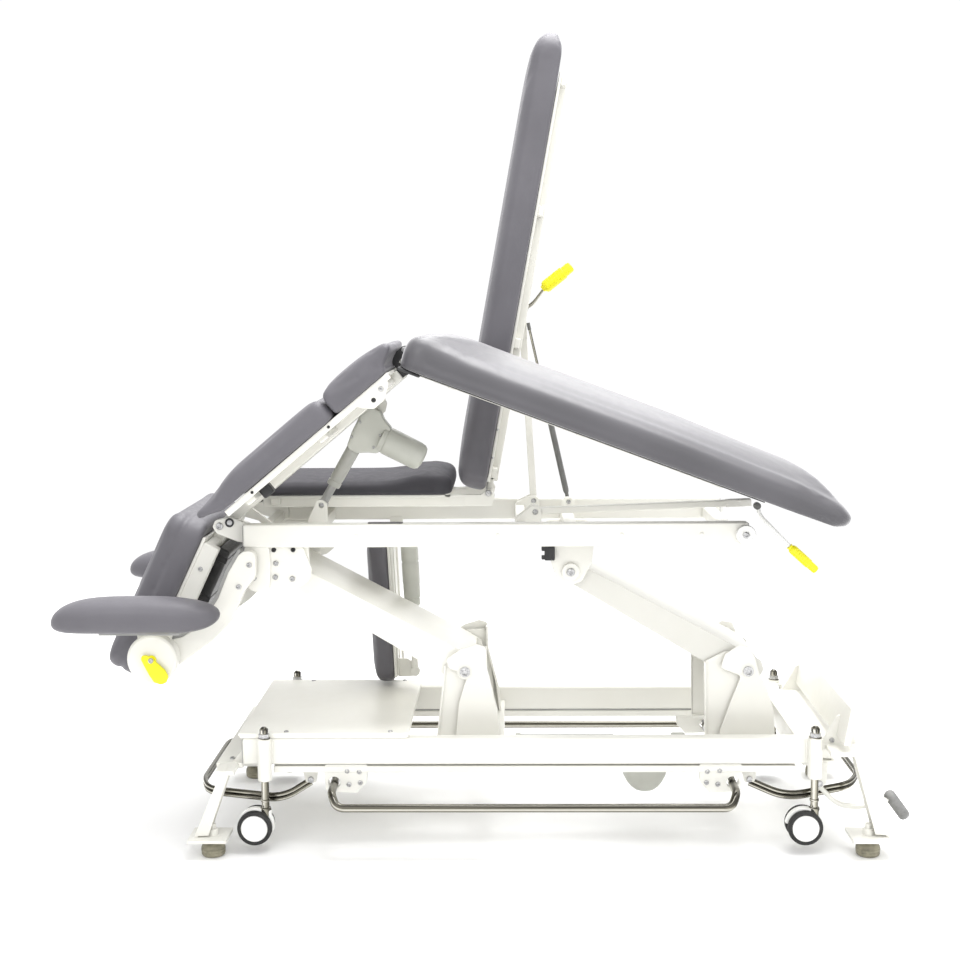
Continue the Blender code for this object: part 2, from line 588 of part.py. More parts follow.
near_prop = prop_axis("leg_prop_axis", *PROP_NEAR)
prop = bar("leg_prop", *PROP_NEAR, 0.0110, 0.0075, -0.105, "white", near_prop)
weld(prop, axle("leg_prop_pin", 0.0, 0.0, -0.1270, -0.0830, 0.0060, None, near_prop))
far_prop = prop_axis("back_prop_axis", *PROP_FAR)
prop = bar("back_prop", *PROP_FAR, 0.0110, 0.0055, PROP_FAR_Y, "white", far_prop)
weld(prop, axle("back_prop_pin", 0.0, 0.0, PROP_FAR_Y - 0.022, PROP_FAR_Y + 0.020, 0.0060, None, far_prop))


def lever(name, pivot, knee, start, end, y):
    hold = empty(name + "_axis", pivot[0], 0.0, pivot[1])
    rel = [(p[0] - pivot[0], y, p[1] - pivot[1]) for p in (pivot, knee, start, end)]
    piece = tube(name, [rel[0], rel[1], rel[2]], 0.0050, "yellow", hold, 0.01)
    grip = rod(name + "_grip", Vector(rel[2]) - (Vector(rel[3]) - Vector(rel[2])) * 0.06, rel[3],
               0.0115, None, hold, 12)
    return weld(piece, grip)


lever("leg_lever", (0.626, 0.776), (0.634, 0.752), (0.703, 0.680), (0.764, 0.624), -0.105)
lever("back_lever", (0.088, 1.2385), (0.110, 1.253), (0.138, 1.288), (0.200, 1.340), PROP_FAR_Y)

# ---- back section (far half) -------------------------------------------------
back = empty("back_axis", BACK_PIVOT[0], 0.0, BACK_PIVOT[1], -BACK_TILT)
back_frame = box("back_frame", (0.030, 1.020), (0.030, 0.350), (0.0010, 0.0080), "white", back)
for i, y in enumerate((0.085, 0.300)):
    weld(back_frame, box(f"back_tube{i}", (0.030, 1.020), (y - 0.0125, y + 0.0125), (-0.0170, 0.0020), None, back))
weld(back_frame, axle("back_pin", 0.0, 0.0, 0.0450, 0.2310, 0.0070, None, back),
     box("back_knuckle_a", (-0.005, 0.040), (0.0725, 0.0975), (-0.0080, 0.0055), None, back),
     box("back_knuckle_b", (-0.005, 0.040), (0.190, 0.205), (-0.0060, 0.0055), None, back))
box("back_pad", (0.006, 1.108), (0.010, HALF_W), (0.0084, 0.0880), "grey_pad", back, 0, 0.020, 2)

# gas spring beside the prop
low, high = Vector((SPRING_LOW[0], 0.166, SPRING_LOW[1])), Vector((SPRING_HIGH[0], 0.166, SPRING_HIGH[1]))
way = (high - low).normalized()
spring = rod("gas_spring_tube", low, low + way * 0.270, 0.0100, "black")
weld(spring, axle("spring_eye", *SPRING_LOW, 0.1430, 0.1700, 0.0050))
bore(spring, rod("spring_hole", low + way * 0.080, low + way * 0.300, 0.0054))
rod("gas_spring_rod", low + way * 0.168, high, 0.0050, "steel")

# ---- drop section (far half) ---------------------------------------------------
drop = empty("drop_axis", DROP_PIVOT[0], 0.0, DROP_PIVOT[1], -DROP_LEAN)
box("drop_pad", (-0.0820, -0.0240), (0.150, 0.380), (-0.405, -0.012), "grey_pad", drop, 0, 0.016, 2)
drop_frame = box("drop_frame", (-0.0236, -0.0130), (0.160, 0.360), (-0.390, -0.020), "white", drop)
weld(drop_frame, box("drop_knuckle", (-0.016, 0.006), (0.2185, 0.2315), (-0.030, 0.006), None, drop),
     axle("drop_pin", 0.0, 0.0, 0.2060, 0.2440, 0.0060, None, drop),
     box("drop_foot", (-0.016, 0.034), (0.178, 0.186), (-0.392, -0.350), None, drop))
ram = rod("drop_actuator", (0.0330, 0.1720, -0.205), (0.0330, 0.1720, -0.006), 0.0220, "plastic", drop)
weld(ram, rod("drop_ram_rod", (0.0300, 0.1680, -0.376), (0.0300, 0.1680, -0.195), 0.0085, None, drop))

# ---- head section ------------------------------------------------------------------
head = empty("head_axis", HEAD_PIVOT[0], 0.0, HEAD_PIVOT[1], -HEAD_TILT)
head_frame = box("head_frame", (-0.350, -0.040), (-0.215, 0.215), (0.0170, 0.0246), "white", head)
for i, y in enumerate((-0.100, 0.100)):
    weld(head_frame, plate(f"head_tube{i}", [(-0.345, -0.0100), (0.004, -0.0100), (0.0095, -0.004), (0.0095, 0.004),
                                             (0.004, 0.0100), (-0.040, 0.0190), (-0.345, 0.0190)],
                           (y - 0.0140, y + 0.0140), None, head))
for i, y in enumerate((-0.200, 0.200)):
    weld(head_frame, box(f"head_side{i}", (-0.345, -0.050), (y - 0.0130, y + 0.0130), (-0.0200, 0.0190), None, head))
weld(head_frame, axle("head_pin", 0.0, 0.0, -0.2180, 0.2180, 0.0070, None, head))
box("head_pad", (-0.412, -0.012), (-0.230, 0.230), (0.0250, 0.1220), "grey_pad", head, 0, 0.025, 2)

# ---- armrests -------------------------------------------------------------------------
BAR_OUTLINE = [(-0.526, 0.700), (-0.526, 0.640), (-0.552, 0.610), (-0.584, 0.539), (-0.631, 0.492),
               (-0.685, 0.453), (-0.716, 0.430), (-0.745, 0.418), (-0.775, 0.418), (-0.798, 0.440),
               (-0.798, 0.478), (-0.775, 0.498), (-0.735, 0.494), (-0.700, 0.502), (-0.655, 0.530),
               (-0.615, 0.590), (-0.590, 0.650), (-0.560, 0.700)]
for side, label in ((-1, "near"), (1, "far")):
    def span(a, b):
        return tuple(sorted((side * a, side * b)))
    arm_bar = plate(f"armrest_bar_{label}", BAR_OUTLINE, span(0.2349, 0.2620), "white")
    bore(arm_bar, axle(f"hub_bore_{label}", *HUB, *span(0.220, 0.280), 0.0104))
    hub_axis = empty(f"armrest_axis_{label}", HUB[0], 0.0, HUB[1])
    hub = axle(f"armrest_hub_{label}", 0.0, 0.0, *span(0.2625, 0.3000), 0.0570, "white", hub_axis, 28)
    weld(hub, box(f"hub_neck_{label}", (-0.040, 0.045), span(0.2640, 0.3350), (0.030, 0.0675), None, hub_axis),
         axle(f"hub_pin_{label}", 0.0, 0.0, *span(0.2400, 0.2800), 0.0100, None, hub_axis))
    box(f"armrest_pad_{label}", (-0.213, 0.168), span(0.2800, 0.4000), (0.0680, 0.1520), "grey_pad",
        hub_axis, 0, 0.026, 2)
    grip = empty(f"armrest_lever_axis_{label}", HUB[0], 0.0, HUB[1])
    handle = rod(f"armrest_lever_{label}", (0.0, side * 0.3080, 0.0), (0.030, side * 0.3080, -0.042),
                 0.0072, "yellow", grip, 12)
    weld(handle, axle(f"lever_boss_{label}", 0.0, 0.0, *span(0.3003, 0.3140), 0.0110, None, grip))

bpy.context.view_layer.update()
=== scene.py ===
"""Looks of the sectional treatment table: upholstery, paint, chrome and small hardware,
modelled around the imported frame. Metres, +Z up, -Y is the near side."""

import math

import bmesh
import bpy
from mathutils import Matrix, Vector


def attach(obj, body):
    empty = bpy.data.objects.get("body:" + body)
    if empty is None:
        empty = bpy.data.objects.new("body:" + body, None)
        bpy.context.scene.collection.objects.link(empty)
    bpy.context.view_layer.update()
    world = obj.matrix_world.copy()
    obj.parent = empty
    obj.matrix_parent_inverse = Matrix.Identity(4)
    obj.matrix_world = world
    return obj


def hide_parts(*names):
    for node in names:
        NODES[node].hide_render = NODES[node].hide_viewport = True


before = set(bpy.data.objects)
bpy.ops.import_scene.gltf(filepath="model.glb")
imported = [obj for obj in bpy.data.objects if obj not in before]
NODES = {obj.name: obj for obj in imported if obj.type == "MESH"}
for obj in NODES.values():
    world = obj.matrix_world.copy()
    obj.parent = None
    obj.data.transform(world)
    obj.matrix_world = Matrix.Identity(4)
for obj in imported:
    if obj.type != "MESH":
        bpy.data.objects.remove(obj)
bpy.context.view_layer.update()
SCENE = bpy.context.scene
rad = math.radians

# ---------------------------------------------------------------- camera, light, floor
cam_data = bpy.data.cameras.new("camera")
cam_data.lens = 54.69
cam_data.sensor_width = 36.0
cam_data.clip_end = 60.0
camera = bpy.data.objects.new("camera", cam_data)
camera.matrix_world = (Matrix.Translation((0.0511, -3.5, 1.2283))
                       @ Matrix.Rotation(rad(1.229), 4, "Z")
                       @ Matrix.Rotation(rad(83.483), 4, "X")
                       @ Matrix.Rotation(rad(-0.451), 4, "Z"))
SCENE.collection.objects.link(camera)
SCENE.camera = camera

world = bpy.data.worlds.new("studio")
world.use_nodes = True
world.node_tree.nodes["Background"].inputs["Color"].default_value = (1.0, 1.0, 1.0, 1.0)
world.node_tree.nodes["Background"].inputs["Strength"].default_value = 1.03
SCENE.world = world
SCENE.view_settings.view_transform = "Standard"


def area_light(name, place, target, size, power):
    data = bpy.data.lights.new(name, "AREA")
    data.shape = "RECTANGLE"
    data.size, data.size_y = size
    data.energy = power
    lamp = bpy.data.objects.new(name, data)
    lamp.location = place
    lamp.rotation_euler = (Vector(target) - Vector(place)).to_track_quat("-Z", "Y").to_euler()
    SCENE.collection.objects.link(lamp)


area_light("key", (-1.4, -3.6, 3.2), (0.0, 0.0, 0.7), (3.0, 2.2), 45.0)
area_light("fill", (2.4, -3.4, 2.0), (0.1, 0.0, 0.6), (2.6, 2.4), 25.0)
area_light("top", (0.5, 0.2, 4.2), (0.1, 0.0, 0.6), (3.4, 2.6), 260.0)
area_light("back", (0.5, 3.0, 3.3), (0.1, 0.0, 0.9), (3.2, 1.3), 46.0)


# ---------------------------------------------------------------- materials
class Finish:
    """A material with its node tree at hand. Patterns follow each piece's own coordinates."""

    def __init__(self, name, colour, rough, metal=0.0):
        self.mat = bpy.data.materials.new(name)
        self.mat.use_nodes = True
        self.tree = self.mat.node_tree
        self.bsdf = self.tree.nodes["Principled BSDF"]
        self.set("Base Color", (*colour, 1.0))
        self.set("Roughness", rough)
        self.set("Metallic", metal)
        self.coord = self.tree.nodes.new("ShaderNodeTexCoord").outputs["Object"]
        self.last_bump = None

    def set(self, socket, value):
        self.bsdf.inputs[socket].default_value = value
        return self

    def painted_reflection_bands(self, stops):
        """Painted reflection: light and dark bands painted into a polished tube's base colour, by the way its surface
        faces up or along.
        """
        new, wire = self.tree.nodes.new, self.tree.links.new
        facing = new("ShaderNodeSeparateXYZ")
        wire(new("ShaderNodeNewGeometry").outputs["Normal"], facing.inputs[0])
        lean = new("ShaderNodeMath")
        lean.operation = "MULTIPLY_ADD"
        wire(facing.outputs["X"], lean.inputs[0])
        lean.inputs[1].default_value = 0.45
        wire(facing.outputs["Z"], lean.inputs[2])
        place = new("ShaderNodeMapRange")
        wire(lean.outputs[0], place.inputs["Value"])
        place.inputs["From Min"].default_value, place.inputs["From Max"].default_value = -1.45, 1.45
        ramp = new("ShaderNodeValToRGB")
        points = ramp.color_ramp.elements
        while len(points) < len(stops):
            points.new(0.5)
        for point, (where, colour) in zip(points, stops):
            point.position = where
            point.color = (*colour, 1.0)
        wire(place.outputs[0], ramp.inputs["Fac"])
        wire(ramp.outputs["Color"], self.bsdf.inputs["Base Color"])

    def link(self, a, b):
        self.tree.links.new(a, b)

    def noise(self, scale, detail=3.0, stretch=None):
        node = self.tree.nodes.new("ShaderNodeTexNoise")
        node.inputs["Scale"].default_value = scale
        node.inputs["Detail"].default_value = detail
        source = self.coord
        if stretch:
            mapping = self.tree.nodes.new("ShaderNodeMapping")
            mapping.inputs["Scale"].default_value = stretch
            self.link(source, mapping.inputs["Vector"])
            source = mapping.outputs["Vector"]
        self.link(source, node.inputs["Vector"])
        return node.outputs["Fac"]

    def cells(self, scale, feature="DISTANCE_TO_EDGE"):
        node = self.tree.nodes.new("ShaderNodeTexVoronoi")
        node.feature = feature
        node.inputs["Scale"].default_value = scale
        self.link(self.coord, node.inputs["Vector"])
        return node.outputs["Distance"]

    def spread(self, value, lo, hi, into, from_lo=0.3, from_hi=0.7):
        node = self.tree.nodes.new("ShaderNodeMapRange")
        node.inputs["From Min"].default_value = from_lo
        node.inputs["From Max"].default_value = from_hi
        node.inputs["To Min"].default_value = lo
        node.inputs["To Max"].default_value = hi
        self.link(value, node.inputs["Value"])
        self.link(node.outputs["Result"], self.bsdf.inputs[into])
        return self

    def tint(self, value, dark, light, lo=0.3, hi=0.7):
        ramp = self.tree.nodes.new("ShaderNodeValToRGB")
        ramp.color_ramp.elements[0].position = lo
        ramp.color_ramp.elements[1].position = hi
        ramp.color_ramp.elements[0].color = (*dark, 1.0)
        ramp.color_ramp.elements[1].color = (*light, 1.0)
        self.link(value, ramp.inputs["Fac"])
        self.link(ramp.outputs["Color"], self.bsdf.inputs["Base Color"])
        return self

    def bump(self, value, strength, distance):
        node = self.tree.nodes.new("ShaderNodeBump")
        node.inputs["Strength"].default_value = strength
        node.inputs["Distance"].default_value = distance
        self.link(value, node.inputs["Height"])
        if self.last_bump is not None:
            self.link(self.last_bump, node.inputs["Normal"])
        self.last_bump = node.outputs["Normal"]
        self.link(self.last_bump, self.bsdf.inputs["Normal"])
        return self


def make_finishes():
    kit = {}
    # the two extra powder coats are lit and shaded copies of one paint: gain 1.16 is painted light, gain 0.84 is
    # painted shade
    for key, gain in (("white", 1.0), ("white_fresh", 1.16), ("white_worn", 0.84)):
        f = Finish(key.replace("white", "powder_coat"), (0.75, 0.74, 0.69), 0.36)
        f.tint(f.noise(5.0, 4.0), [gain * c for c in (0.715, 0.705, 0.650)], [gain * c for c in (0.760, 0.753, 0.705)], 0.25, 0.75)
        f.spread(f.noise(38.0, 2.0), 0.30, 0.44, "Roughness")
        f.bump(f.noise(900.0, 1.0), 0.05, 0.0006)
        f.set("Coat Weight", 0.15).set("Coat Roughness", 0.2)
        kit[key] = f.mat

    # vinyl_shade is a darker, duller copy for the seat (painted shade); vinyl_lit is a glossier copy for the leg pad
    # (painted light)
    for key, low, high, rough, coat, sheen in (("vinyl", 1.46, 1.76, (0.46, 0.60), 0.05, 0.10),
                                               ("vinyl_shade", 0.79, 0.96, (0.60, 0.74), 0.0, 0.0),
                                               ("vinyl_lit", 0.88, 1.10, (0.38, 0.50), 0.52, 0.52)):
        f = Finish(key, (0.072, 0.0695, 0.078), 0.42)
        f.tint(f.noise(7.0, 5.0), [low * c for c in (0.070, 0.0675, 0.0755)], [high * c for c in (0.070, 0.0675, 0.0755)], 0.3, 0.7)
        f.spread(f.noise(60.0, 3.0), rough[0], rough[1], "Roughness")
        f.bump(f.cells(420.0), 0.14, 0.0006)
        f.bump(f.noise(1100.0, 2.0), 0.10, 0.0004)
        f.bump(f.noise(16.0, 2.0), 0.08, 0.0040)
        f.set("Sheen Weight", sheen).set("Sheen Roughness", 0.40).set("Sheen Tint", (0.98, 0.97, 1.0, 1.0))
        f.set("Coat Weight", coat).set("Coat Roughness", 0.38 if key == "vinyl_lit" else 0.26)
        f.set("Specular IOR Level", 0.12 if key == "vinyl_shade" else 0.40)
        kit[key] = f.mat

    f = Finish("vinyl_seam", (0.050, 0.049, 0.053), 0.55)
    f.tint(f.noise(90.0, 3.0), (0.050, 0.046, 0.054), (0.078, 0.071, 0.083))
    f.bump(f.noise(900.0, 2.0), 0.15, 0.0004)
    kit["thread"] = f.mat

    # chrome: its base colour is painted reflection, light and dark bands set by surface direction
    f = Finish("chrome", (0.50, 0.48, 0.42), 0.16, 1.0)
    f.painted_reflection_bands(((0.155, (0.16, 0.15, 0.12)), (0.259, (0.07, 0.066, 0.05)), (0.362, (0.36, 0.345, 0.29)),
                    (0.448, (0.62, 0.605, 0.55)), (0.517, (0.30, 0.287, 0.235)), (0.621, (0.095, 0.090, 0.072)),
                    (0.707, (0.060, 0.057, 0.047)), (0.793, (0.105, 0.101, 0.088)), (0.845, (0.240, 0.232, 0.205))))
    f.spread(f.noise(120.0, 3.0), 0.12, 0.22, "Roughness")
    f.bump(f.noise(500.0, 2.0), 0.02, 0.0003)
    kit["chrome"] = f.mat

    f = Finish("zinc_steel", (0.42, 0.42, 0.43), 0.32, 1.0)
    f.tint(f.cells(260.0, "F1"), (0.30, 0.30, 0.31), (0.52, 0.52, 0.52), 0.1, 0.7)
    f.spread(f.noise(300.0, 2.0), 0.24, 0.44, "Roughness")
    f.bump(f.noise(700.0, 2.0), 0.06, 0.0003)
    kit["steel"] = f.mat

    f = Finish("black_plastic", (0.018, 0.018, 0.019), 0.45)
    f.tint(f.noise(40.0, 3.0), (0.012, 0.012, 0.013), (0.028, 0.028, 0.029))
    f.spread(f.noise(200.0, 2.0), 0.36, 0.55, "Roughness")
    f.bump(f.noise(1400.0, 1.0), 0.12, 0.0003)
    kit["black"] = f.mat

    f = Finish("yellow_grip", (0.86, 0.80, 0.006), 0.42)
    f.tint(f.noise(30.0, 3.0), (0.78, 0.72, 0.004), (0.90, 0.84, 0.010))
    f.spread(f.noise(160.0, 2.0), 0.34, 0.50, "Roughness")
    f.bump(f.noise(1300.0, 1.0), 0.08, 0.0003)
    kit["yellow"] = f.mat

    f = Finish("sage_plastic", (0.47, 0.475, 0.43), 0.42)
    f.tint(f.noise(12.0, 4.0), (0.43, 0.435, 0.39), (0.50, 0.505, 0.455))
    f.spread(f.noise(150.0, 2.0), 0.36, 0.50, "Roughness")
    f.bump(f.noise(1500.0, 1.0), 0.10, 0.0003)
    kit["sage"] = f.mat

    f = Finish("tyre_rubber", (0.010, 0.010, 0.010), 0.62)
    f.tint(f.noise(50.0, 4.0), (0.007, 0.007, 0.007), (0.017, 0.017, 0.016))
    f.spread(f.noise(220.0, 2.0), 0.52, 0.72, "Roughness")
    f.bump(f.noise(800.0, 2.0), 0.12, 0.0004)
    kit["tyre"] = f.mat

    f = Finish("hub_plastic", (0.84, 0.84, 0.82), 0.34)
    f.tint(f.noise(30.0, 3.0), (0.79, 0.79, 0.76), (0.86, 0.86, 0.84))
    f.spread(f.noise(150.0, 2.0), 0.28, 0.40, "Roughness")
    f.bump(f.noise(1500.0, 1.0), 0.05, 0.0003)
    kit["hub"] = f.mat

    f = Finish("foot_rubber", (0.22, 0.20, 0.145), 0.50)
    f.tint(f.noise(70.0, 4.0), (0.15, 0.14, 0.10), (0.30, 0.28, 0.20))
    f.spread(f.noise(160.0, 2.0), 0.40, 0.62, "Roughness")
    f.bump(f.noise(600.0, 2.0), 0.12, 0.0004)
    kit["foot"] = f.mat

    f = Finish("grey_rubber", (0.19, 0.19, 0.185), 0.58)
    f.tint(f.noise(60.0, 4.0), (0.155, 0.155, 0.15), (0.225, 0.225, 0.22))
    f.spread(f.noise(200.0, 2.0), 0.5, 0.66, "Roughness")
    f.bump(f.noise(900.0, 2.0), 0.15, 0.0004)
    kit["pad_grey"] = f.mat

    f = Finish("shade_grey", (0.30, 0.30, 0.29), 0.50)
    f.tint(f.noise(20.0, 3.0), (0.26, 0.26, 0.25), (0.34, 0.34, 0.33))
    f.bump(f.noise(1200.0, 1.0), 0.08, 0.0003)
    kit["mid_grey"] = f.mat

    f = Finish("slate_paint", (0.13, 0.13, 0.125), 0.40)
    f.tint(f.noise(24.0, 3.0), (0.11, 0.11, 0.105), (0.15, 0.15, 0.145))
    f.bump(f.noise(1200.0, 1.0), 0.05, 0.0003)
    kit["slate"] = f.mat

    f = Finish("ash_paint", (0.36, 0.36, 0.33), 0.42)
    f.tint(f.noise(24.0, 3.0), (0.33, 0.33, 0.30), (0.39, 0.39, 0.36))
    f.bump(f.noise(1200.0, 1.0), 0.06, 0.0003)
    kit["ash"] = f.mat
    return kit


MAT = make_finishes()


# ---------------------------------------------------------------- mesh building
def soften(bm, width, segments=2, angle=32.0):
    """Rounds every edge that is sharper than the given angle."""
    if width <= 0:
        return bm
    bm.normal_update()
    edges = [e for e in bm.edges if len(e.link_faces) == 2 and e.calc_face_angle(0.0) > rad(angle)]
    bmesh.ops.bevel(bm, geom=edges, offset=width, offset_type="OFFSET", segments=segments,
                    profile=0.5, affect="EDGES", clamp_overlap=True)
    return bm


def g_box(x, y, z, r=0.002, seg=2):
    x, y, z = sorted(x), sorted(y), sorted(z)
    bm = bmesh.new()
    bmesh.ops.create_cube(bm, size=1.0)
    bmesh.ops.scale(bm, vec=(x[1] - x[0], y[1] - y[0], z[1] - z[0]), verts=bm.verts)
    bmesh.ops.translate(bm, vec=((x[0] + x[1]) / 2, (y[0] + y[1]) / 2, (z[0] + z[1]) / 2), verts=bm.verts)
    return soften(bm, r, seg)


def aim(a, b):
    """The frame that has its Z along a to b and its origin at a."""
    a, b = Vector(a), Vector(b)
    return Matrix.Translation(a) @ (b - a).to_track_quat("Z", "Y").to_matrix().to_4x4()


def g_lathe(profile, M=None, steps=32):
    """A profile of (radius, height) turned about Z, closed on the axis where the radius is 0."""
    bm = bmesh.new()
    rings = []
    for r, h in profile:
        if r < 1e-6:
            rings.append([bm.verts.new((0.0, 0.0, h))])
        else:
            rings.append([bm.verts.new((r * math.cos(2 * math.pi * k / steps),
                                        r * math.sin(2 * math.pi * k / steps), h)) for k in range(steps)])
    for a, b in zip(rings, rings[1:]):
        for k in range(steps):
            k2 = (k + 1) % steps
            if len(a) == 1 and len(b) == 1:
                continue
            if len(a) == 1:
                bm.faces.new((a[0], b[k], b[k2]))
            elif len(b) == 1:
                bm.faces.new((a[k2], a[k], b[0]))
            else:
                bm.faces.new((a[k2], a[k], b[k], b[k2]))
    bmesh.ops.recalc_face_normals(bm, faces=bm.faces)
    if M is not None:
        bmesh.ops.transform(bm, matrix=M, verts=bm.verts)
    return bm


def g_rod(a, b, r, r2=None, edge=0.001, steps=24):
    length = (Vector(b) - Vector(a)).length
    r2 = r if r2 is None else r2
    e = min(edge, 0.4 * r, 0.4 * r2, 0.4 * length)
    profile = [(0.0, 0.0), (r - e, 0.0), (r - 0.3 * e, 0.3 * e), (r, e), (r2, length - e),
               (r2 - 0.3 * e, length - 0.3 * e), (r2 - e, length), (0.0, length)]
    return g_lathe(profile, aim(a, b), steps)


def bend_path(points, radius, steps=8):
    points = [Vector(p) for p in points]
    path = [points[0]]
    for before, at, after in zip(points, points[1:], points[2:]):
        into, out = before - at, after - at
        reach = min(radius, 0.45 * into.length, 0.45 * out.length)
        a, b = at + into.normalized() * reach, at + out.normalized() * reach
        for i in range(steps + 1):
            t = i / steps
            path.append(a * (1 - t) ** 2 + at * 2 * t * (1 - t) + b * t * t)
    return path + [points[-1]]


def g_sweep(path, section, closed_ends=True, up=(0.0, 0.0, 1.0)):
    """Carries a closed section of (u, v) points along a path without twist."""
    bm = bmesh.new()
    path = [Vector(p) for p in path]
    frames, side = [], None
    for i, p in enumerate(path):
        t = (path[min(i + 1, len(path) - 1)] - path[max(i - 1, 0)]).normalized()
        if side is None:
            ref = Vector(up)
            if abs(ref.dot(t)) > 0.95:
                ref = Vector((0.0, 1.0, 0.0))
            side = t.cross(ref).normalized()
        side = (side - t * side.dot(t)).normalized()
        frames.append((p, side, side.cross(t)))
    rings = []
    for i, (p, u, v) in enumerate(frames):
        ring = section(i / (len(frames) - 1)) if callable(section) else section
        rings.append([bm.verts.new(p + u * a + v * b) for a, b in ring])
    count = len(rings[0])
    for a, b in zip(rings, rings[1:]):
        for k in range(count):
            k2 = (k + 1) % count
            bm.faces.new((a[k], a[k2], b[k2], b[k]))
    if closed_ends:
        bm.faces.new(list(reversed(rings[0])))
        bm.faces.new(rings[-1])
    bmesh.ops.recalc_face_normals(bm, faces=bm.faces)
    return bm


def circle(r, steps=16):
    return [(r * math.cos(2 * math.pi * k / steps), r * math.sin(2 * math.pi * k / steps)) for k in range(steps)]


def g_tube(points, r, bend=0.03, steps=16):
    bm = g_sweep(bend_path(points, bend), circle(r, steps))
    return soften(bm, min(0.0012, 0.3 * r), 2, 60.0)


def round_outline(points, radius, steps=5):
    """A closed outline with its corners turned into arcs. A point may carry its own radius."""
    flat = [((p[0], p[1]), p[2] if len(p) > 2 else radius) for p in points]
    out = []
    for i, (at, rr) in enumerate(flat):
        at = Vector(at)
        before, after = Vector(flat[i - 1][0]), Vector(flat[(i + 1) % len(flat)][0])
        into, away = before - at, after - at
        if rr <= 1e-5:
            out.append((at.x, at.y))
            continue
        half = 0.5 * into.angle(away, math.pi)
        reach = rr / max(math.tan(half), 0.15)
        reach = min(reach, 0.48 * into.length, 0.48 * away.length)
        a, b = at + into.normalized() * reach, at + away.normalized() * reach
        for k in range(steps + 1):
            t = k / steps
            q = a * (1 - t) ** 2 + at * 2 * t * (1 - t) + b * t * t
            out.append((q.x, q.y))
    return out


def disc(x, z, r, steps=20):
    return [(x + r * math.cos(2 * math.pi * k / steps), z + r * math.sin(2 * math.pi * k / steps)) for k in range(steps)]


def g_plate(outline, y, r=0.0012, holes=(), corner=0.0, M=None):
    """A sheet with an outline of (x, z) points between two y values, edges rounded by r."""
    y = sorted(y)
    r = min(r, 0.45 * (y[1] - y[0]))
    if corner > 0:
        outline = round_outline(outline, corner)
    curve = bpy.data.curves.new("outline", "CURVE")
    curve.dimensions = "2D"
    curve.fill_mode = "BOTH"
    curve.extrude = (y[1] - y[0]) / 2 - r
    curve.bevel_depth = r
    curve.bevel_resolution = 1
    curve.offset = -r
    for ring in (outline, *holes):
        spline = curve.splines.new("POLY")
        spline.points.add(len(ring) - 1)
        for point, (px, pz) in zip(spline.points, ring):
            point.co = (px, pz, 0.0, 1.0)
        spline.use_cyclic_u = True
    obj = bpy.data.objects.new("outline", curve)
    SCENE.collection.objects.link(obj)
    bpy.context.view_layer.update()
    mesh = bpy.data.meshes.new_from_object(obj.evaluated_get(bpy.context.evaluated_depsgraph_get()))
    bpy.data.objects.remove(obj, do_unlink=True)
    bpy.data.curves.remove(curve)
    bm = bmesh.new()
    bm.from_mesh(mesh)
    bpy.data.meshes.remove(mesh)
    bmesh.ops.remove_doubles(bm, verts=bm.verts, dist=2e-5)
    bmesh.ops.recalc_face_normals(bm, faces=bm.faces)
    bmesh.ops.transform(bm, matrix=Matrix.Translation((0.0, (y[0] + y[1]) / 2, 0.0))
                        @ Matrix.Rotation(rad(90), 4, "X"), verts=bm.verts)
    if M is not None:
        bmesh.ops.transform(bm, matrix=M, verts=bm.verts)
    return bm


class Piece:
    """Shapes gathered into one object that rides on a body."""

    def __init__(self, name, *finishes):
        self.name, self.finishes, self.bm = name, list(finishes), bmesh.new()

    def add(self, part, finish=None, M=None):
        finish = finish or self.finishes[0]
        if finish not in self.finishes:
            self.finishes.append(finish)
        index = self.finishes.index(finish)
        if M is not None:
            bmesh.ops.transform(part, matrix=M, verts=part.verts)
        for face in part.faces:
            face.material_index = index
            face.smooth = True
        mesh = bpy.data.meshes.new("part")
        part.to_mesh(mesh)
        part.free()
        self.bm.from_mesh(mesh)
        bpy.data.meshes.remove(mesh)
        return self

    def done(self, body, *nodes, sharp=38.0):
        mesh = bpy.data.meshes.new(self.name)
        self.bm.to_mesh(mesh)
        self.bm.free()
        mesh.set_sharp_from_angle(angle=rad(sharp))
        for name in self.finishes:
            mesh.materials.append(MAT[name])
        obj = bpy.data.objects.new(self.name, mesh)
        SCENE.collection.objects.link(obj)
        even = obj.modifiers.new("even_normals", "WEIGHTED_NORMAL")
        even.keep_sharp = True
        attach(obj, body)
        if nodes:
            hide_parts(*nodes)
        return obj


def bolt(piece, at, way, r=0.0065, h=0.005, finish="steel", socket=True):
    """A button head screw, standing on a face at a point."""
    at, way = Vector(at), Vector(way).normalized()
    M = aim(at - way * 0.001, at + way)
    h += 0.001
    if socket:
        profile = [(0.0, 0.45 * h), (0.42 * r, 0.45 * h), (0.46 * r, 0.95 * h), (0.62 * r, h), (0.88 * r, 0.82 * h),
                   (r, 0.45 * h), (r, 0.0), (0.0, 0.0)]
    else:
        profile = [(0.0, h), (0.6 * r, 0.97 * h), (0.9 * r, 0.75 * h), (r, 0.4 * h), (r, 0.0), (0.0, 0.0)]
    piece.add(g_lathe(profile, M, 20), finish)


def hex_nut(piece, at, way, r=0.009, h=0.008, finish="steel"):
    at, way = Vector(at), Vector(way).normalized()
    M = aim(at, at + way)
    bm = bmesh.new()
    bmesh.ops.create_cone(bm, cap_ends=True, segments=6, radius1=r, radius2=r, depth=h)
    bmesh.ops.translate(bm, vec=(0, 0, h / 2), verts=bm.verts)
    soften(bm, 0.0008, 2)
    piece.add(bm, finish, M)


def span(side, a, b):
    return tuple(sorted((side * a, side * b)))


# ---------------------------------------------------------------- section frames
def turned(x, z, degrees):
    return Matrix.Translation((x, 0.0, z)) @ Matrix.Rotation(rad(degrees), 4, "Y")


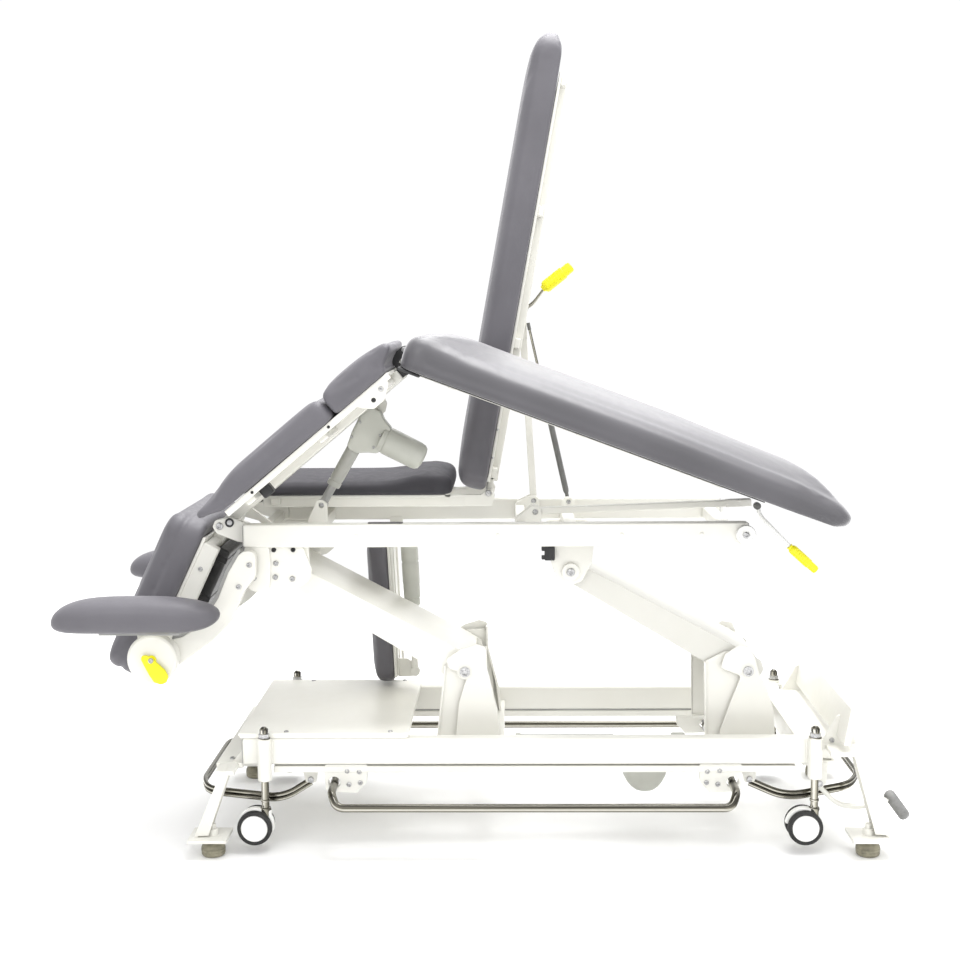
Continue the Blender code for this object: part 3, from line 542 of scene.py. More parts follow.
MID = turned(-0.6068, 0.7750, -39.9)
LEG = turned(-0.18993, 1.14816, 20.6)
BACK = turned(-0.005, 0.790, -79.6)
DROP = turned(-0.245, 0.690, -2.65)
HEAD = turned(-0.615, 0.750, -64.5)
HUB_X, HUB_Z = -0.760, 0.459
HUB = Matrix.Translation((HUB_X, 0.0, HUB_Z))
POST_X = {"left": -0.517, "right": 0.738}
POST_Z = {"left": 0.168, "right": 0.172}
WHEEL_Z = 0.062

# ---------------------------------------------------------------- upholstery
PADS = []


def rounded_ring(s, y, radius, inset, per_corner=9, along=10, across=6):
    """Points round a rectangle with round corners, drawn in by inset."""
    s0, s1, y0, y1 = s[0] + inset, s[1] - inset, y[0] + inset, y[1] - inset
    rr = max(radius - inset, 0.004)
    rr = min(rr, 0.49 * (s1 - s0), 0.49 * (y1 - y0))
    points = []
    corners = [(s1 - rr, y0 + rr, -90), (s1 - rr, y1 - rr, 0), (s0 + rr, y1 - rr, 90), (s0 + rr, y0 + rr, 180)]
    for i, (cs, cy, start) in enumerate(corners):
        for k in range(per_corner):
            a = rad(start + 90.0 * k / (per_corner - 1))
            points.append((cs + rr * math.cos(a), cy + rr * math.sin(a)))
        a1 = rad(start + 90.0)
        here = Vector((cs + rr * math.cos(a1), cy + rr * math.sin(a1)))
        ncs, ncy, nstart = corners[(i + 1) % 4]
        a2 = rad(nstart)
        there = Vector((ncs + rr * math.cos(a2), ncy + rr * math.sin(a2)))
        count = across if i % 2 == 0 else along
        for k in range(1, count):
            q = here.lerp(there, k / count)
            points.append((q.x, q.y))
    return points


def pad(name, node, body, M, s, y, n, corner=0.045, edge=0.024, crown=0.008, under=0.006,
        shape=None, voxel=0.006, cap=0.0025, press=1.6, fill=0.85, grooves=(), pin=0.004, form=None, finish="vinyl"):
    """An upholstered pad in a section's own frame: s along it, y across it, n out of it."""
    n0, n1 = n
    top = n1 - crown
    levels = [(under + 0.012, n0), (under, n0), (0.3 * under, n0 + 0.3 * under), (0.0, n0 + under)]
    for k in range(1, 4):
        levels.append((0.0, n0 + under + (top - edge - n0 - under) * k / 4))
    for k in range(0, 7):
        a = rad(90.0 * k / 6)
        levels.append((edge * (1 - math.cos(a)), top - edge + edge * math.sin(a)))
    room = min(s[1] - s[0], y[1] - y[0]) / 2
    for k in range(1, 6):
        inset = edge + (room * 0.92 - edge) * k / 5
        levels.append((inset, top + crown * (1 - (1 - k / 5) ** 2)))
    bm = bmesh.new()
    rings = []
    if form:
        rings = [[bm.verts.new(q) for q in ring] for ring in form(s, y, n)]
    else:
        for inset, height in levels:
            ring = rounded_ring(s, y, corner, inset)
            rings.append([bm.verts.new((a, b, height)) for a, b in ring])
    for a, b in zip(rings, rings[1:]):
        for k in range(len(a)):
            k2 = (k + 1) % len(a)
            bm.faces.new((a[k], a[k2], b[k2], b[k]))
    bm.faces.new(list(reversed(rings[0])))
    bm.faces.new(rings[-1])
    bmesh.ops.recalc_face_normals(bm, faces=bm.faces)
    if shape:
        for v in bm.verts:
            v.co = Vector(shape(*v.co))
    mesh = bpy.data.meshes.new(name)
    bm.to_mesh(mesh)
    bm.free()
    obj = bpy.data.objects.new(name, mesh)
    SCENE.collection.objects.link(obj)
    grid = obj.modifiers.new("grid", "REMESH")
    grid.mode = "VOXEL"
    grid.voxel_size = voxel
    even = obj.modifiers.new("even", "SMOOTH")
    even.factor = 0.5
    even.iterations = 4
    bpy.context.view_layer.update()
    fine = bpy.data.meshes.new_from_object(obj.evaluated_get(bpy.context.evaluated_depsgraph_get()))
    obj.modifiers.clear()
    obj.data = fine
    bpy.data.meshes.remove(mesh)
    PADS.append({"obj": obj, "node": node, "body": body, "M": M, "n0": n0, "cap": cap, "press": press,
                 "fill": fill, "grooves": grooves, "pin": pin, "finish": finish,
                 "rest": [v.co.copy() for v in fine.vertices]})
    return obj


def swell_pads():
    """Inflates every cover a little over its foam, with its underside held on the board."""
    for item in PADS:
        obj = item["obj"]
        held = obj.vertex_groups.new(name="board")
        held.add([i for i, co in enumerate(item["rest"]) if co.z < item["n0"] + item["pin"]], 1.0, "REPLACE")
        cloth = obj.modifiers.new("cover", "CLOTH")
        settings = cloth.settings
        settings.quality = 4
        settings.mass = 0.35
        settings.tension_stiffness = settings.compression_stiffness = 18.0
        settings.shear_stiffness = 8.0
        settings.bending_stiffness = 1.5
        settings.use_pressure = True
        settings.uniform_pressure_force = item["press"]
        settings.effector_weights.gravity = 0.0
        settings.vertex_group_mass = "board"
        cloth.collision_settings.use_collision = False
        cloth.collision_settings.use_self_collision = False
        cloth.point_cache.frame_start = 1
        cloth.point_cache.frame_end = 20
    for step in range(1, 19):
        SCENE.frame_set(step)
    graph = bpy.context.evaluated_depsgraph_get()
    for item in PADS:
        moved = bpy.data.meshes.new_from_object(item["obj"].evaluated_get(graph))
        item["moved"] = [v.co.copy() for v in moved.vertices]
        bpy.data.meshes.remove(moved)
    for item in PADS:
        obj = item["obj"]
        obj.modifiers.clear()
        obj.vertex_groups.clear()
        for vert, a, b in zip(obj.data.vertices, item["rest"], item["moved"]):
            d = b - a
            limit = item["cap"]
            if d.length > limit:
                d *= limit / d.length
            vert.co = a + d
    SCENE.frame_set(1)


def finish_pads():
    for item in PADS:
        obj = item["obj"]
        mesh = obj.data
        if item["grooves"]:
            mesh.update()
            normals = [v.normal.copy() for v in mesh.vertices]
            for vert, normal in zip(mesh.vertices, normals):
                draw = 0.0
                for groove in item["grooves"]:
                    draw = max(draw, groove(*vert.co))
                vert.co -= normal * draw
        mesh.transform(item["M"])
        mesh.shade_smooth()
        mesh.materials.clear()
        mesh.materials.append(MAT[item["finish"]])
        finer = obj.modifiers.new("finer", "SUBSURF")
        finer.levels = finer.render_levels = 1
        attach(obj, item["body"])
        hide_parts(item["node"])


def groove_at(axis, value, depth=0.003, width=0.006, where=None):
    """A sewn line across a pad: axis 0 runs across it, axis 1 along it."""
    def draw(a, b, c):
        if where and not where(a, b, c):
            return 0.0
        d = (a, b, c)[axis] - value
        return depth * math.exp(-(d / width) ** 2)
    return draw


def smooth_step(t):
    t = min(max(t, 0.0), 1.0)
    return t * t * (3 - 2 * t)


NEAR_Y, FAR_Y = (-0.388, -0.012), (0.012, 0.388)


def shape_mid_lower(a, b, c):
    """The lower end leans back over the pivot and runs out thin."""
    t = smooth_step((0.060 - a) / 0.070)
    low = 0.0014 + t * 0.018
    c = low + (c - 0.0014) * (0.062 - low) / (0.062 - 0.0014)
    thin = smooth_step((0.120 - a) / 0.130)
    return a, b, low + (c - low) * (1.0 - 0.52 * thin)


def shape_mid_upper(a, b, c):
    """The upper end reaches over the hinge."""
    t = smooth_step((a - 0.430) / 0.086)
    up = smooth_step((c - 0.016) / 0.030)
    return a + 0.044 * t * up, b, c - 0.006 * t * t * up


def shape_leg(a, b, c):
    """The hinge end stands up over the hinge, and the far end runs down to a blunt nose."""
    top = smooth_step((c + 0.020) / 0.070)
    rise = 0.012 * math.exp(-((a - 0.055) / 0.075) ** 2)
    fall = 0.008 * smooth_step((a - 0.55) / 0.35) + 0.016 * smooth_step((a - 0.90) / 0.145) ** 2
    start = smooth_step((0.060 - a) / 0.060)
    u = min(max((a - 0.990) / 0.060, 0.0), 1.0)
    close = 0.30 + 0.70 * math.sqrt(1.0 - u * u)
    c = c + (rise - fall) * top
    return a - 0.012 * start * top, b, 0.002 + (c - 0.002) * close


def shape_back(a, b, c):
    """The upper end closes in a round nose."""
    u = min(max((a - 1.036) / 0.080, 0.0), 1.0)
    close = math.sqrt(max(0.0, 1.0 - u * u)) * 0.86 + 0.14
    return a, b, 0.040 + (c - 0.040) * close


def shape_seat(a, b, c):
    """A soft rise near the end that meets the back section."""
    rise = math.exp(-((a + 0.160) / 0.070) ** 2)
    top = smooth_step((c - 0.80) / 0.035)
    low = 1.0 - smooth_step((a + 0.250) / 0.095)
    return a, b, c + (0.008 * rise - 0.0115 * low) * top


def form_armrest(s, y, n):
    """A bolster: flat below, bowed above, blunt at the head end and drawn out at the other."""
    mid_s, half_s = (s[0] + s[1]) / 2, (s[1] - s[0]) / 2
    mid_y, half_y = (y[0] + y[1]) / 2, (y[1] - y[0]) / 2
    rings = []
    count = 40
    for k in range(1, count):
        u = -math.cos(math.pi * k / count)
        v = abs(u)
        tip = n[0] + (0.020 if u < 0 else 0.038)
        power = 3.4 if u < 0 else 2.6
        high = tip + (n[1] - tip) * math.sqrt(1.0 - v ** power)
        low = tip - (tip - n[0]) * math.sqrt(1.0 - v ** (9.0 if u < 0 else 4.5))
        wide = half_y * math.sqrt(1.0 - v ** 5.0)
        middle = low + 0.42 * (high - low)
        ring = []
        for m in range(36):
            w = 2 * math.pi * m / 36
            cx, sx = math.cos(w), math.sin(w)
            across = math.copysign(abs(cx) ** 0.80, cx) * wide
            if sx >= 0:
                up = (high - middle) * abs(sx) ** 0.85
            else:
                up = -(middle - low) * abs(sx) ** 0.45
            ring.append((mid_s + half_s * u, mid_y + across, middle + up))
        rings.append(ring)
    return rings


def side_seam(level, edge, ends):
    """A seam that runs round the side of a pad at one height."""
    def draw(a, b, c):
        if abs(b) > edge or not ends[0] < a < ends[1]:
            return 0.0045 * math.exp(-((c - level) / 0.0055) ** 2)
        return 0.0
    return draw


pad("cushion_mid_lower", "mid_pad_lower", "mid", MID, (-0.011, 0.3655), NEAR_Y, (0.0014, 0.062),
    corner=0.022, edge=0.020, crown=0.006, shape=shape_mid_lower)
pad("cushion_mid_upper", "mid_pad_upper", "mid", MID, (0.3685, 0.516), NEAR_Y, (0.0014, 0.0640),
    corner=0.016, edge=0.018, crown=0.006, shape=shape_mid_upper)
pad("cushion_leg", "leg_pad", "leg", LEG, (0.012, 1.048), NEAR_Y, (-0.0300, 0.0720),
    corner=0.040, edge=0.036, crown=0.032, shape=shape_leg, voxel=0.007, cap=0.0025, finish="vinyl_lit")
pad("cushion_seat", "seat_pad_far", "top", Matrix.Identity(4), (-0.606, -0.093), FAR_Y, (0.7897, 0.8360),
    edge=0.020, crown=0.006, shape=shape_seat, finish="vinyl_shade")
pad("cushion_back", "back_pad", "back", BACK, (0.002, 1.114), FAR_Y, (0.0084, 0.0870),
    corner=0.055, edge=0.030, shape=shape_back, voxel=0.008, cap=0.003)
pad("cushion_drop", "drop_pad", "drop", DROP @ Matrix.Rotation(rad(-90), 4, "Y"),
    (-0.403, -0.014), (0.152, 0.378), (0.0240, 0.0800), corner=0.035, edge=0.018)
pad("cushion_head", "head_pad", "head", HEAD, (-0.410, -0.014), (-0.227, 0.227), (0.0250, 0.1190),
    corner=0.040, edge=0.020, crown=0.006, cap=0.003,
    grooves=(side_seam(0.076, 0.200, (-0.385, -0.040)),))
for side, label in ((-1, "near"), (1, "far")):
    pad(f"cushion_armrest_{label}", f"armrest_pad_{label}", f"armrest_{label}", HUB, (-0.211, 0.166),
        span(side, 0.2820, 0.3980), (0.0740, 0.1520), form=form_armrest, voxel=0.005, cap=0.002)
swell_pads()
finish_pads()

# ---------------------------------------------------------------- base
def build_base():
    p = Piece("base_frame_shell", "white")
    for side in (-1, 1):
        p.add(g_box((-0.570, 0.745), span(side, 0.217, 0.253), (0.2000, 0.2618), 0.006, 3))
        p.add(g_box((-0.500, 0.700), span(side, 0.2190, 0.2490), (0.1800, 0.1962), 0.003, 2))
        # the web set back in the gap between rail and lip is mid grey: painted shade of the groove
        p.add(g_box((-0.498, 0.698), span(side, 0.2215, 0.2290), (0.1930, 0.2040), 0.0), "mid_grey")
        for x in (-0.5702, 0.7452):
            p.add(g_box((x - 0.0015, x + 0.0015), span(side, 0.2205, 0.2495), (0.2040, 0.2578), 0.001), "mid_grey")
        for end in ("left", "right"):
            x, z = POST_X[end], POST_Z[end]
            y = side * 0.265
            p.add(g_lathe([(0.0092, z + 0.030), (0.0092, z + 0.001), (0.0105, z), (0.0146, z), (0.0160, z + 0.0014),
                           (0.0160, 0.2625), (0.0146, 0.2660), (0.0, 0.2660)], Matrix.Translation((x, y, 0.0)), 28))
            p.add(g_box((x - 0.020, x + 0.020), span(side, 0.2500, 0.2570), (0.2040, 0.2580), 0.002))
            p.add(g_box((x - 0.012, x + 0.012), span(side, 0.2510, 0.2620), (0.1990, 0.2560), 0.002))
    p.add(g_box((-0.568, -0.520), (-0.230, 0.230), (0.2030, 0.2580), 0.004))
    for x0, x1, z1 in ((-0.008, 0.032, 0.226), (0.600, 0.640, 0.226), (0.700, 0.743, 0.258)):
        p.add(g_box((x0, x1), (-0.230, 0.230), (0.2030, z1), 0.004))
    p.done("base", "base_frame")

    p = Piece("post_knobs", "steel")
    for side in (-1, 1):
        for end in ("left", "right"):
            x, y = POST_X[end], side * 0.265
            p.add(g_lathe([(0.0, 0.2645), (0.0142, 0.2645), (0.0146, 0.2665), (0.0142, 0.2685), (0.0, 0.2685)][::-1],
                          Matrix.Translation((x, y, 0.0)), 28), "chrome")
            hex_nut(p, (x, y, 0.2685), (0, 0, 1), 0.0132, 0.0095)
            p.add(g_lathe([(0.0, 0.2940), (0.0048, 0.2932), (0.0078, 0.2905), (0.0090, 0.2870), (0.0090, 0.2775),
                           (0.0, 0.2775)], Matrix.Translation((x, y, 0.0)), 24), "chrome")
            for k in range(6):
                a = 2 * math.pi * k / 6
                p.add(g_box((-0.0016, 0.0016), (0.0075, 0.0098), (0.2800, 0.2890), 0.0004),
                      "black", Matrix.Translation((x, y, 0.0)) @ Matrix.Rotation(a, 4, "Z"))
    p.done("base")

    def tower(name, px, outer, inner, fold):
        q = Piece(name, "white")
        hole = [disc(px, 0.390, 0.0125)]
        for side in (-1, 1):
            q.add(g_plate(outer, span(side, 0.1355, 0.1410), 0.0012, hole, 0.008))
            q.add(g_plate(inner, span(side, 0.1225, 0.1275), 0.0012, hole, 0.006))
            rim = [(x + 0.0005, z) for x, z in fold] + [(x - 0.0050, z) for x, z in reversed(fold)]
            q.add(g_plate(rim, span(side, 0.1080, 0.1408), 0.0010))
            q.add(g_box((inner[0][0], fold[-1][0]), span(side, 0.1080, 0.1400), (0.2050, 0.2140), 0.002))
            back = [(x + 0.0050, z) for x, z in inner[:3]] + [(x, z) for x, z in reversed(inner[:3])]
            q.add(g_plate(back, span(side, 0.1225, 0.1330), 0.0010))
            q.add(g_lathe([(0.0, 0.0), (0.0190, 0.0), (0.0190, 0.0125), (0.0178, 0.0140), (0.0, 0.0140)],
                          aim((px, side * 0.1275, 0.390), (px, side * 0.2, 0.390)), 32))
            bolt(q, (px, side * 0.1415, 0.390), (0, side, 0), 0.0095, 0.006)
            for x in (outer[0][0] + 0.022, outer[-1][0] - 0.020):
                bolt(q, (x, side * 0.1410, 0.230), (0, side, 0), 0.0058, 0.004)
            bolt(q, (inner[0][0] + 0.020, side * 0.1275, 0.226), (0, side, 0), 0.0050, 0.004, "black")
        return q.done("base")

    tower("tower_left", -0.060,
          [(-0.0835, 0.2120), (-0.0830, 0.2340), (-0.0749, 0.3160), (-0.0540, 0.3820), (-0.0980, 0.3980), (-0.1040, 0.4200),
           (-0.0700, 0.4440), (-0.0320, 0.4560), (-0.0110, 0.4500), (-0.0090, 0.3907), (0.0155, 0.2940), (0.0216, 0.2340),
           (0.0216, 0.2120)],
          [(-0.1290, 0.2120), (-0.1278, 0.2360), (-0.1094, 0.4020), (-0.0600, 0.4340), (-0.0160, 0.4360), (0.0040, 0.3000),
           (0.0040, 0.2120)],
          [(-0.0100, 0.4440), (-0.0090, 0.3907), (0.0155, 0.2940), (0.0216, 0.2340), (0.0216, 0.2120)])
    tower("tower_right", 0.605,
          [(0.5380, 0.2120), (0.5400, 0.2470), (0.5640, 0.3160), (0.5880, 0.3780), (0.5400, 0.3980), (0.5500, 0.4300),
           (0.5820, 0.4520), (0.6080, 0.4480), (0.6200, 0.4200), (0.6300, 0.3850), (0.6480, 0.3500), (0.6640, 0.3000),
           (0.6700, 0.2120)],
          [(0.5060, 0.2120), (0.5050, 0.2470), (0.5030, 0.4100), (0.5500, 0.4340), (0.6000, 0.4360), (0.6420, 0.3000),
           (0.6420, 0.2120)],
          [(0.6190, 0.4240), (0.6300, 0.3850), (0.6480, 0.3500), (0.6640, 0.3000), (0.6700, 0.2120)])

    # the cover sheet uses the lighter powder coat copy: painted light
    p = Piece("base_cover_sheet", "white_fresh")
    p.add(g_box((-0.580, -0.187), (-0.249, 0.249), (0.2663, 0.2735), 0.003, 3))
    for side in (-1, 1):
        p.add(g_box((-0.576, -0.190), span(side, 0.2455, 0.2485), (0.2622, 0.2700), 0.001))
        for x in (-0.470, -0.230):
            bolt(p, (x, side * 0.236, 0.2735), (0, 0, 1), 0.0055, 0.003)
    p.add(g_box((-0.190, -0.187), (-0.246, 0.246), (0.2622, 0.2700), 0.001))
    p.done("base", "base_cover")


build_base()


def build_feet():
    for end, top, low, flat, shelf, wing in (
            ("left", (-0.604, 0.198), (-0.672, 0.050), (-0.687, -0.598), ((-0.632, -0.5703), (0.190, 0.204)),
             (-0.624, -0.580)),
            ("right", (0.829, 0.240), (0.898, 0.052), (0.814, 0.910), ((0.7453, 0.842), (0.232, 0.246)),
             (0.765, 0.838))):
        p = Piece(f"foot_bracket_{end}_sheet", "white")
        p.add(g_box(shelf[0], (-0.247, 0.247), shelf[1], 0.003, 3))
        foot_x = -0.636 if end == "left" else 0.857
        lean = 1 if end == "right" else -1
        for side in (-1, 1):
            p.add(g_box(wing, span(side, 0.230, 0.306), (shelf[1][0] + 0.001, shelf[1][1] - 0.001), 0.003, 3))
            t = 0.0042
            strip = [(top[0] - t, top[1] + 0.006), (top[0] + t, top[1] + 0.006), (low[0] + t, low[1] - 0.004),
                     (low[0] - t, low[1] - 0.004)]
            p.add(g_plate(strip, span(side, 0.262, 0.308), 0.0015))
            rib = [(top[0], top[1]), (top[0] - lean * 0.012, top[1] - 0.004), (low[0] - lean * 0.030, low[1] + 0.002),
                   (low[0], low[1])]
            for y in (0.2625, 0.3045):
                p.add(g_plate(rib, span(side, y, y + 0.003), 0.0008))
            sole = [(flat[0], 0.0400), (flat[1], 0.0400), (flat[1], 0.0478), (flat[0], 0.0478)]
            p.add(g_plate(sole, span(side, 0.240, 0.330), 0.002))
            p.add(g_lathe([(0.0, 0.0478), (0.0125, 0.0478), (0.0125, 0.0600), (0.0110, 0.0620), (0.0070, 0.0625),
                           (0.0070, 0.0720), (0.0055, 0.0735), (0.0, 0.0735)],
                          Matrix.Translation((foot_x, side * 0.285, 0.0)), 24))
            label = "near" if side < 0 else "far"
            q = Piece(f"level_foot_{label}_{end}", "foot")
            M = Matrix.Translation((foot_x, side * 0.285, 0.0))
            q.add(g_lathe([(0.0, 0.0398), (0.0085, 0.0398), (0.0085, 0.0330), (0.0130, 0.0322), (0.0190, 0.0300),
                           (0.0238, 0.0262), (0.0265, 0.0215), (0.0272, 0.0190), (0.0262, 0.0178), (0.0275, 0.0165),
                           (0.0275, 0.0120), (0.0262, 0.0108), (0.0272, 0.0096), (0.0270, 0.0050), (0.0258, 0.0020),
                           (0.0240, 0.0002), (0.0180, 0.0), (0.0165, 0.0018), (0.0, 0.0018)], M, 40))
            hex_nut(q, (foot_x, side * 0.285, 0.0318), (0, 0, 1), 0.0120, 0.0070)
            q.done("base", f"foot_{label}_{end}")
        if end == "right":
            board = (Matrix.Translation((0.800, 0.0, 0.306)) @ Matrix.Rotation(rad(-80), 4, "Y"))
            p.add(g_box((-0.0430, 0.0430), (-0.320, 0.320), (-0.003, 0.003), 0.002, 3), None, board)
            p.add(g_box((0.0385, 0.0430), (-0.319, 0.319), (-0.012, 0.002), 0.0015), None, board)
            p.add(g_box((-0.0430, -0.0385), (-0.319, 0.319), (-0.012, 0.002), 0.0015), None, board)
            for side in (-1, 1):
                p.add(g_box((-0.0425, 0.0425), span(side, 0.3150, 0.3195), (-0.012, 0.002), 0.0015), None, board)
                web = [(0.7460, 0.236), (0.838, 0.236), (0.826, 0.290), (0.812, 0.318), (0.790, 0.310), (0.764, 0.262)]
                p.add(g_plate(web, span(side, 0.236, 0.244), 0.002, (), 0.006))
                bolt(p, (0.780, side * 0.244, 0.254), (0, side, 0), 0.006, 0.004)
                bolt(p, (0.815, side * 0.244, 0.254), (0, side, 0), 0.006, 0.004)
        else:
            for side in (-1, 1):
                gusset = [(-0.572, 0.198), (-0.600, 0.198), (-0.572, 0.232)]
                p.add(g_plate(gusset, span(side, 0.2300, 0.2360), 0.001))
                bolt(p, (-0.600, side * 0.215, 0.204), (0, 0, 1), 0.0065, 0.004)
        p.done("base", f"foot_bracket_{end}")


build_feet()


def build_casters():
    for end in ("left", "right"):
        for side, label in ((-1, "near"), (1, "far")):
            sx, sy = POST_X[end], side * 0.265
            wx = sx - 0.023
            at = Matrix.Translation((wx, sy, WHEEL_Z)) @ Matrix.Rotation(rad(90), 4, "X")
            p = Piece(f"caster_body_{label}_{end}", "hub")
            hood = []
            for k in range(0, 15):
                a = rad(-18 + 190 * k / 14)
                hood.append((wx + 0.0425 * math.cos(a), WHEEL_Z + 0.0425 * math.sin(a)))
            inner = [(wx + 0.0150 * math.cos(rad(172 - 190 * k / 8)), WHEEL_Z + 0.0150 * math.sin(rad(172 - 190 * k / 8)))
                     for k in range(9)]
            p.add(g_plate(hood + inner, (sy - 0.0092, sy + 0.0092), 0.002))
            p.add(g_lathe([(0.0, -0.0094), (0.0250, -0.0094), (0.0262, -0.0080), (0.0262, 0.0080), (0.0250, 0.0094),
                           (0.0, 0.0094)], at, 32))
            p.add(g_box((sx - 0.020, sx + 0.0135), (sy - 0.0094, sy + 0.0094), (WHEEL_Z + 0.006, WHEEL_Z + 0.0375),
                        0.004, 3))
            p.add(g_lathe([(0.0, 0.080), (0.0122, 0.080), (0.0128, 0.0990), (0.0118, 0.1040), (0.0092, 0.1050),
                           (0.0087, 0.1065), (0.0087, 0.2210), (0.0, 0.2215)], Matrix.Translation((sx, sy, 0.0)), 28),
                  "chrome")
            p.add(g_lathe([(0.0, 0.1190), (0.0102, 0.1190), (0.0106, 0.1202), (0.0106, 0.1228), (0.0102, 0.1240),
                           (0.0, 0.1240)], Matrix.Translation((sx, sy, 0.0)), 28), "chrome")
            p.done(f"swivel_{label}_{end}", f"caster_fork_{label}_{end}")
            p = Piece(f"caster_tyres_{label}_{end}", "tyre")
            for way in (-1, 1):
                M = at @ Matrix.Rotation(0.0 if way > 0 else math.pi, 4, "X")
                p.add(g_lathe([(0.0270, 0.0108), (0.0355, 0.0104), (0.0385, 0.0116), (0.0398, 0.0150), (0.0400, 0.0196),
                               (0.0398, 0.0240), (0.0386, 0.0274), (0.0360, 0.0288), (0.0322, 0.0290), (0.0312, 0.0280),
                               (0.0312, 0.0140), (0.0270, 0.0140), (0.0270, 0.0108)], M, 48))
                p.add(g_lathe([(0.0, 0.0108), (0.0309, 0.0108), (0.0309, 0.0264), (0.0298, 0.0282), (0.0278, 0.0290),
                               (0.0262, 0.0284), (0.0250, 0.0276), (0.0130, 0.0280), (0.0075, 0.0286), (0.0, 0.0287)],
                              M, 48), "hub")
            p.add(g_lathe([(0.0, -0.0130), (0.0060, -0.0130), (0.0060, 0.0130), (0.0, 0.0130)], at, 20), "steel")
            p.done(f"wheel_{label}_{end}", f"caster_wheel_{label}_{end}")


build_casters()


def build_bars():
    for side, label in ((-1, "near"), (1, "far")):
        p = Piece(f"toe_bar_{label}", "chrome")
        y = [side * v for v in (0.200, 0.310, 0.335)]
        p.add(g_tube([(-0.360, y[0], 0.155), (-0.360, y[1], 0.151), (-0.345, y[2], 0.126), (0.540, y[2], 0.126),
                      (0.555, y[1], 0.151), (0.555, y[0], 0.155)], 0.0095, 0.030, 20))
        for x in (-0.360, 0.555):
            p.add(g_rod((x, y[0], 0.155), (x, y[0] - side * 0.004, 0.155), 0.0112, None, 0.001), "steel")
        p.done(f"bar_{label}", f"foot_bar_{label}")
        q = Piece(f"toe_bar_hangers_{label}", "white")
        for x, way in ((-0.360, 1), (0.555, -1)):
            plate = [(x - way * 0.022, 0.1990), (x + way * 0.078, 0.1990), (x + way * 0.074, 0.1560), (x + way * 0.052, 0.1320),
                     (x + way * 0.018, 0.1330), (x - way * 0.020, 0.1360)]
            ring = disc(x, 0.1562, 0.0140)
            for yy in (0.2280, 0.2440):
                q.add(g_plate(plate, span(side, yy, yy + 0.003), 0.0008, [ring], 0.006))
            q.add(g_box((x - way * 0.010, x + way * 0.072), span(side, 0.2295, 0.2455), (0.1900, 0.1980), 0.001))
            for dx, dz in ((0.030, 0.184), (0.058, 0.182), (0.034, 0.152), (0.060, 0.156)):
                bolt(q, (x + way * dx, side * 0.247, dz), (0, side, 0), 0.0058, 0.004)
        q.done("base")
    for label, x0, paths in (
            ("left", -0.420, [(0.0, 0.190, -0.006), (-0.066, 0.205, -0.044), (-0.240, 0.205, -0.024), (-0.262, 0.150, -0.018)]),
            ("right", 0.600, [(0.0, 0.190, -0.008), (0.085, 0.205, -0.042), (0.230, 0.205, -0.014), (0.262, 0.150, -0.006)])):
        p = Piece(f"toe_bar_{label}", "chrome")
        for dz, r in ((0.0042, 0.0055), (-0.0062, 0.0055)):
            half = [(x0 + x, -y, 0.150 + z + dz) for x, y, z in paths]
            other = [(x0 + x, y, 0.150 + z + dz) for x, y, z in reversed(paths)]
            p.add(g_tube(half + other, r, 0.045, 16))
        for side in (-1, 1):
            p.add(g_box((x0 - 0.008, x0 + 0.008), span(side, 0.1800, 0.1960), (0.1385, 0.1615), 0.004, 3))
            p.add(g_rod((x0, side * 0.176, 0.150), (x0, side * 0.2000, 0.150), 0.0060), "steel")
        p.done(f"bar_{label}", f"foot_bar_{label}")
        q = Piece(f"toe_bar_lugs_{label}", "white")
        for side in (-1, 1):
            lug = [(x0 - 0.024, 0.200), (x0 + 0.024, 0.200), (x0 + 0.012, 0.143), (x0 - 0.012, 0.143)]
            q.add(g_plate(lug, span(side, 0.2005, 0.2050), 0.001, (), 0.006))
            q.add(g_box((x0 - 0.024, x0 + 0.024), span(side, 0.2005, 0.2250), (0.1965, 0.2030), 0.002))
            bolt(q, (x0, side * 0.2050, 0.150), (0, side, 0), 0.0075, 0.004)
        q.done("base")

    p = Piece("caster_pedal", "white")
    path = bend_path([(0.743, -0.2252, 0.154), (0.800, -0.2252, 0.096), (0.850, -0.2252, 0.090), (0.923, -0.2252, 0.114)],
                     0.05, 10)
    flat = round_outline([(-0.0095, -0.0050), (0.0095, -0.0050), (0.0095, 0.0050), (-0.0095, 0.0050)], 0.003, 3)
    p.add(soften(g_sweep(path, flat), 0.001, 2, 60))
    p.add(g_rod((0.755, -0.2160, 0.150), (0.755, -0.2345, 0.150), 0.0120, None, 0.002))
    grip = [(0.914, -0.2252, 0.125), (0.9575, -0.2252, 0.0655)]
    M = aim(*grip)
    length = (Vector(grip[1]) - Vector(grip[0])).length
    profile = [(0.0, -0.002), (0.0060, -0.0015), (0.0110, 0.0015), (0.0132, 0.0060)]
    for k in range(9):
        z = 0.0075 + k * (length - 0.016) / 8.5
        profile += [(0.0136, z), (0.0136, z + 0.0028), (0.0127, z + 0.0034), (0.0127, z + 0.0044)]
    profile += [(0.0132, length - 0.006), (0.0110, length - 0.0012), (0.0060, length + 0.0015), (0.0, length + 0.002)]
    p.add(g_lathe(profile, M, 32), "pad_grey")
    p.done("brake", "brake_pedal")
    q = Piece("caster_pedal_mount", "white")
    q.add(g_plate([(0.735, 0.202), (0.775, 0.202), (0.770, 0.150), (0.755, 0.136), (0.740, 0.150)],
                  (-0.2400, -0.2362), 0.001, (), 0.008))
    bolt(q, (0.755, -0.2400, 0.150), (0, -1, 0), 0.008, 0.004)
    q.add(g_rod((0.755, -0.2140, 0.150), (0.755, -0.2395, 0.150), 0.0050), "steel")
    q.done("base")


build_bars()


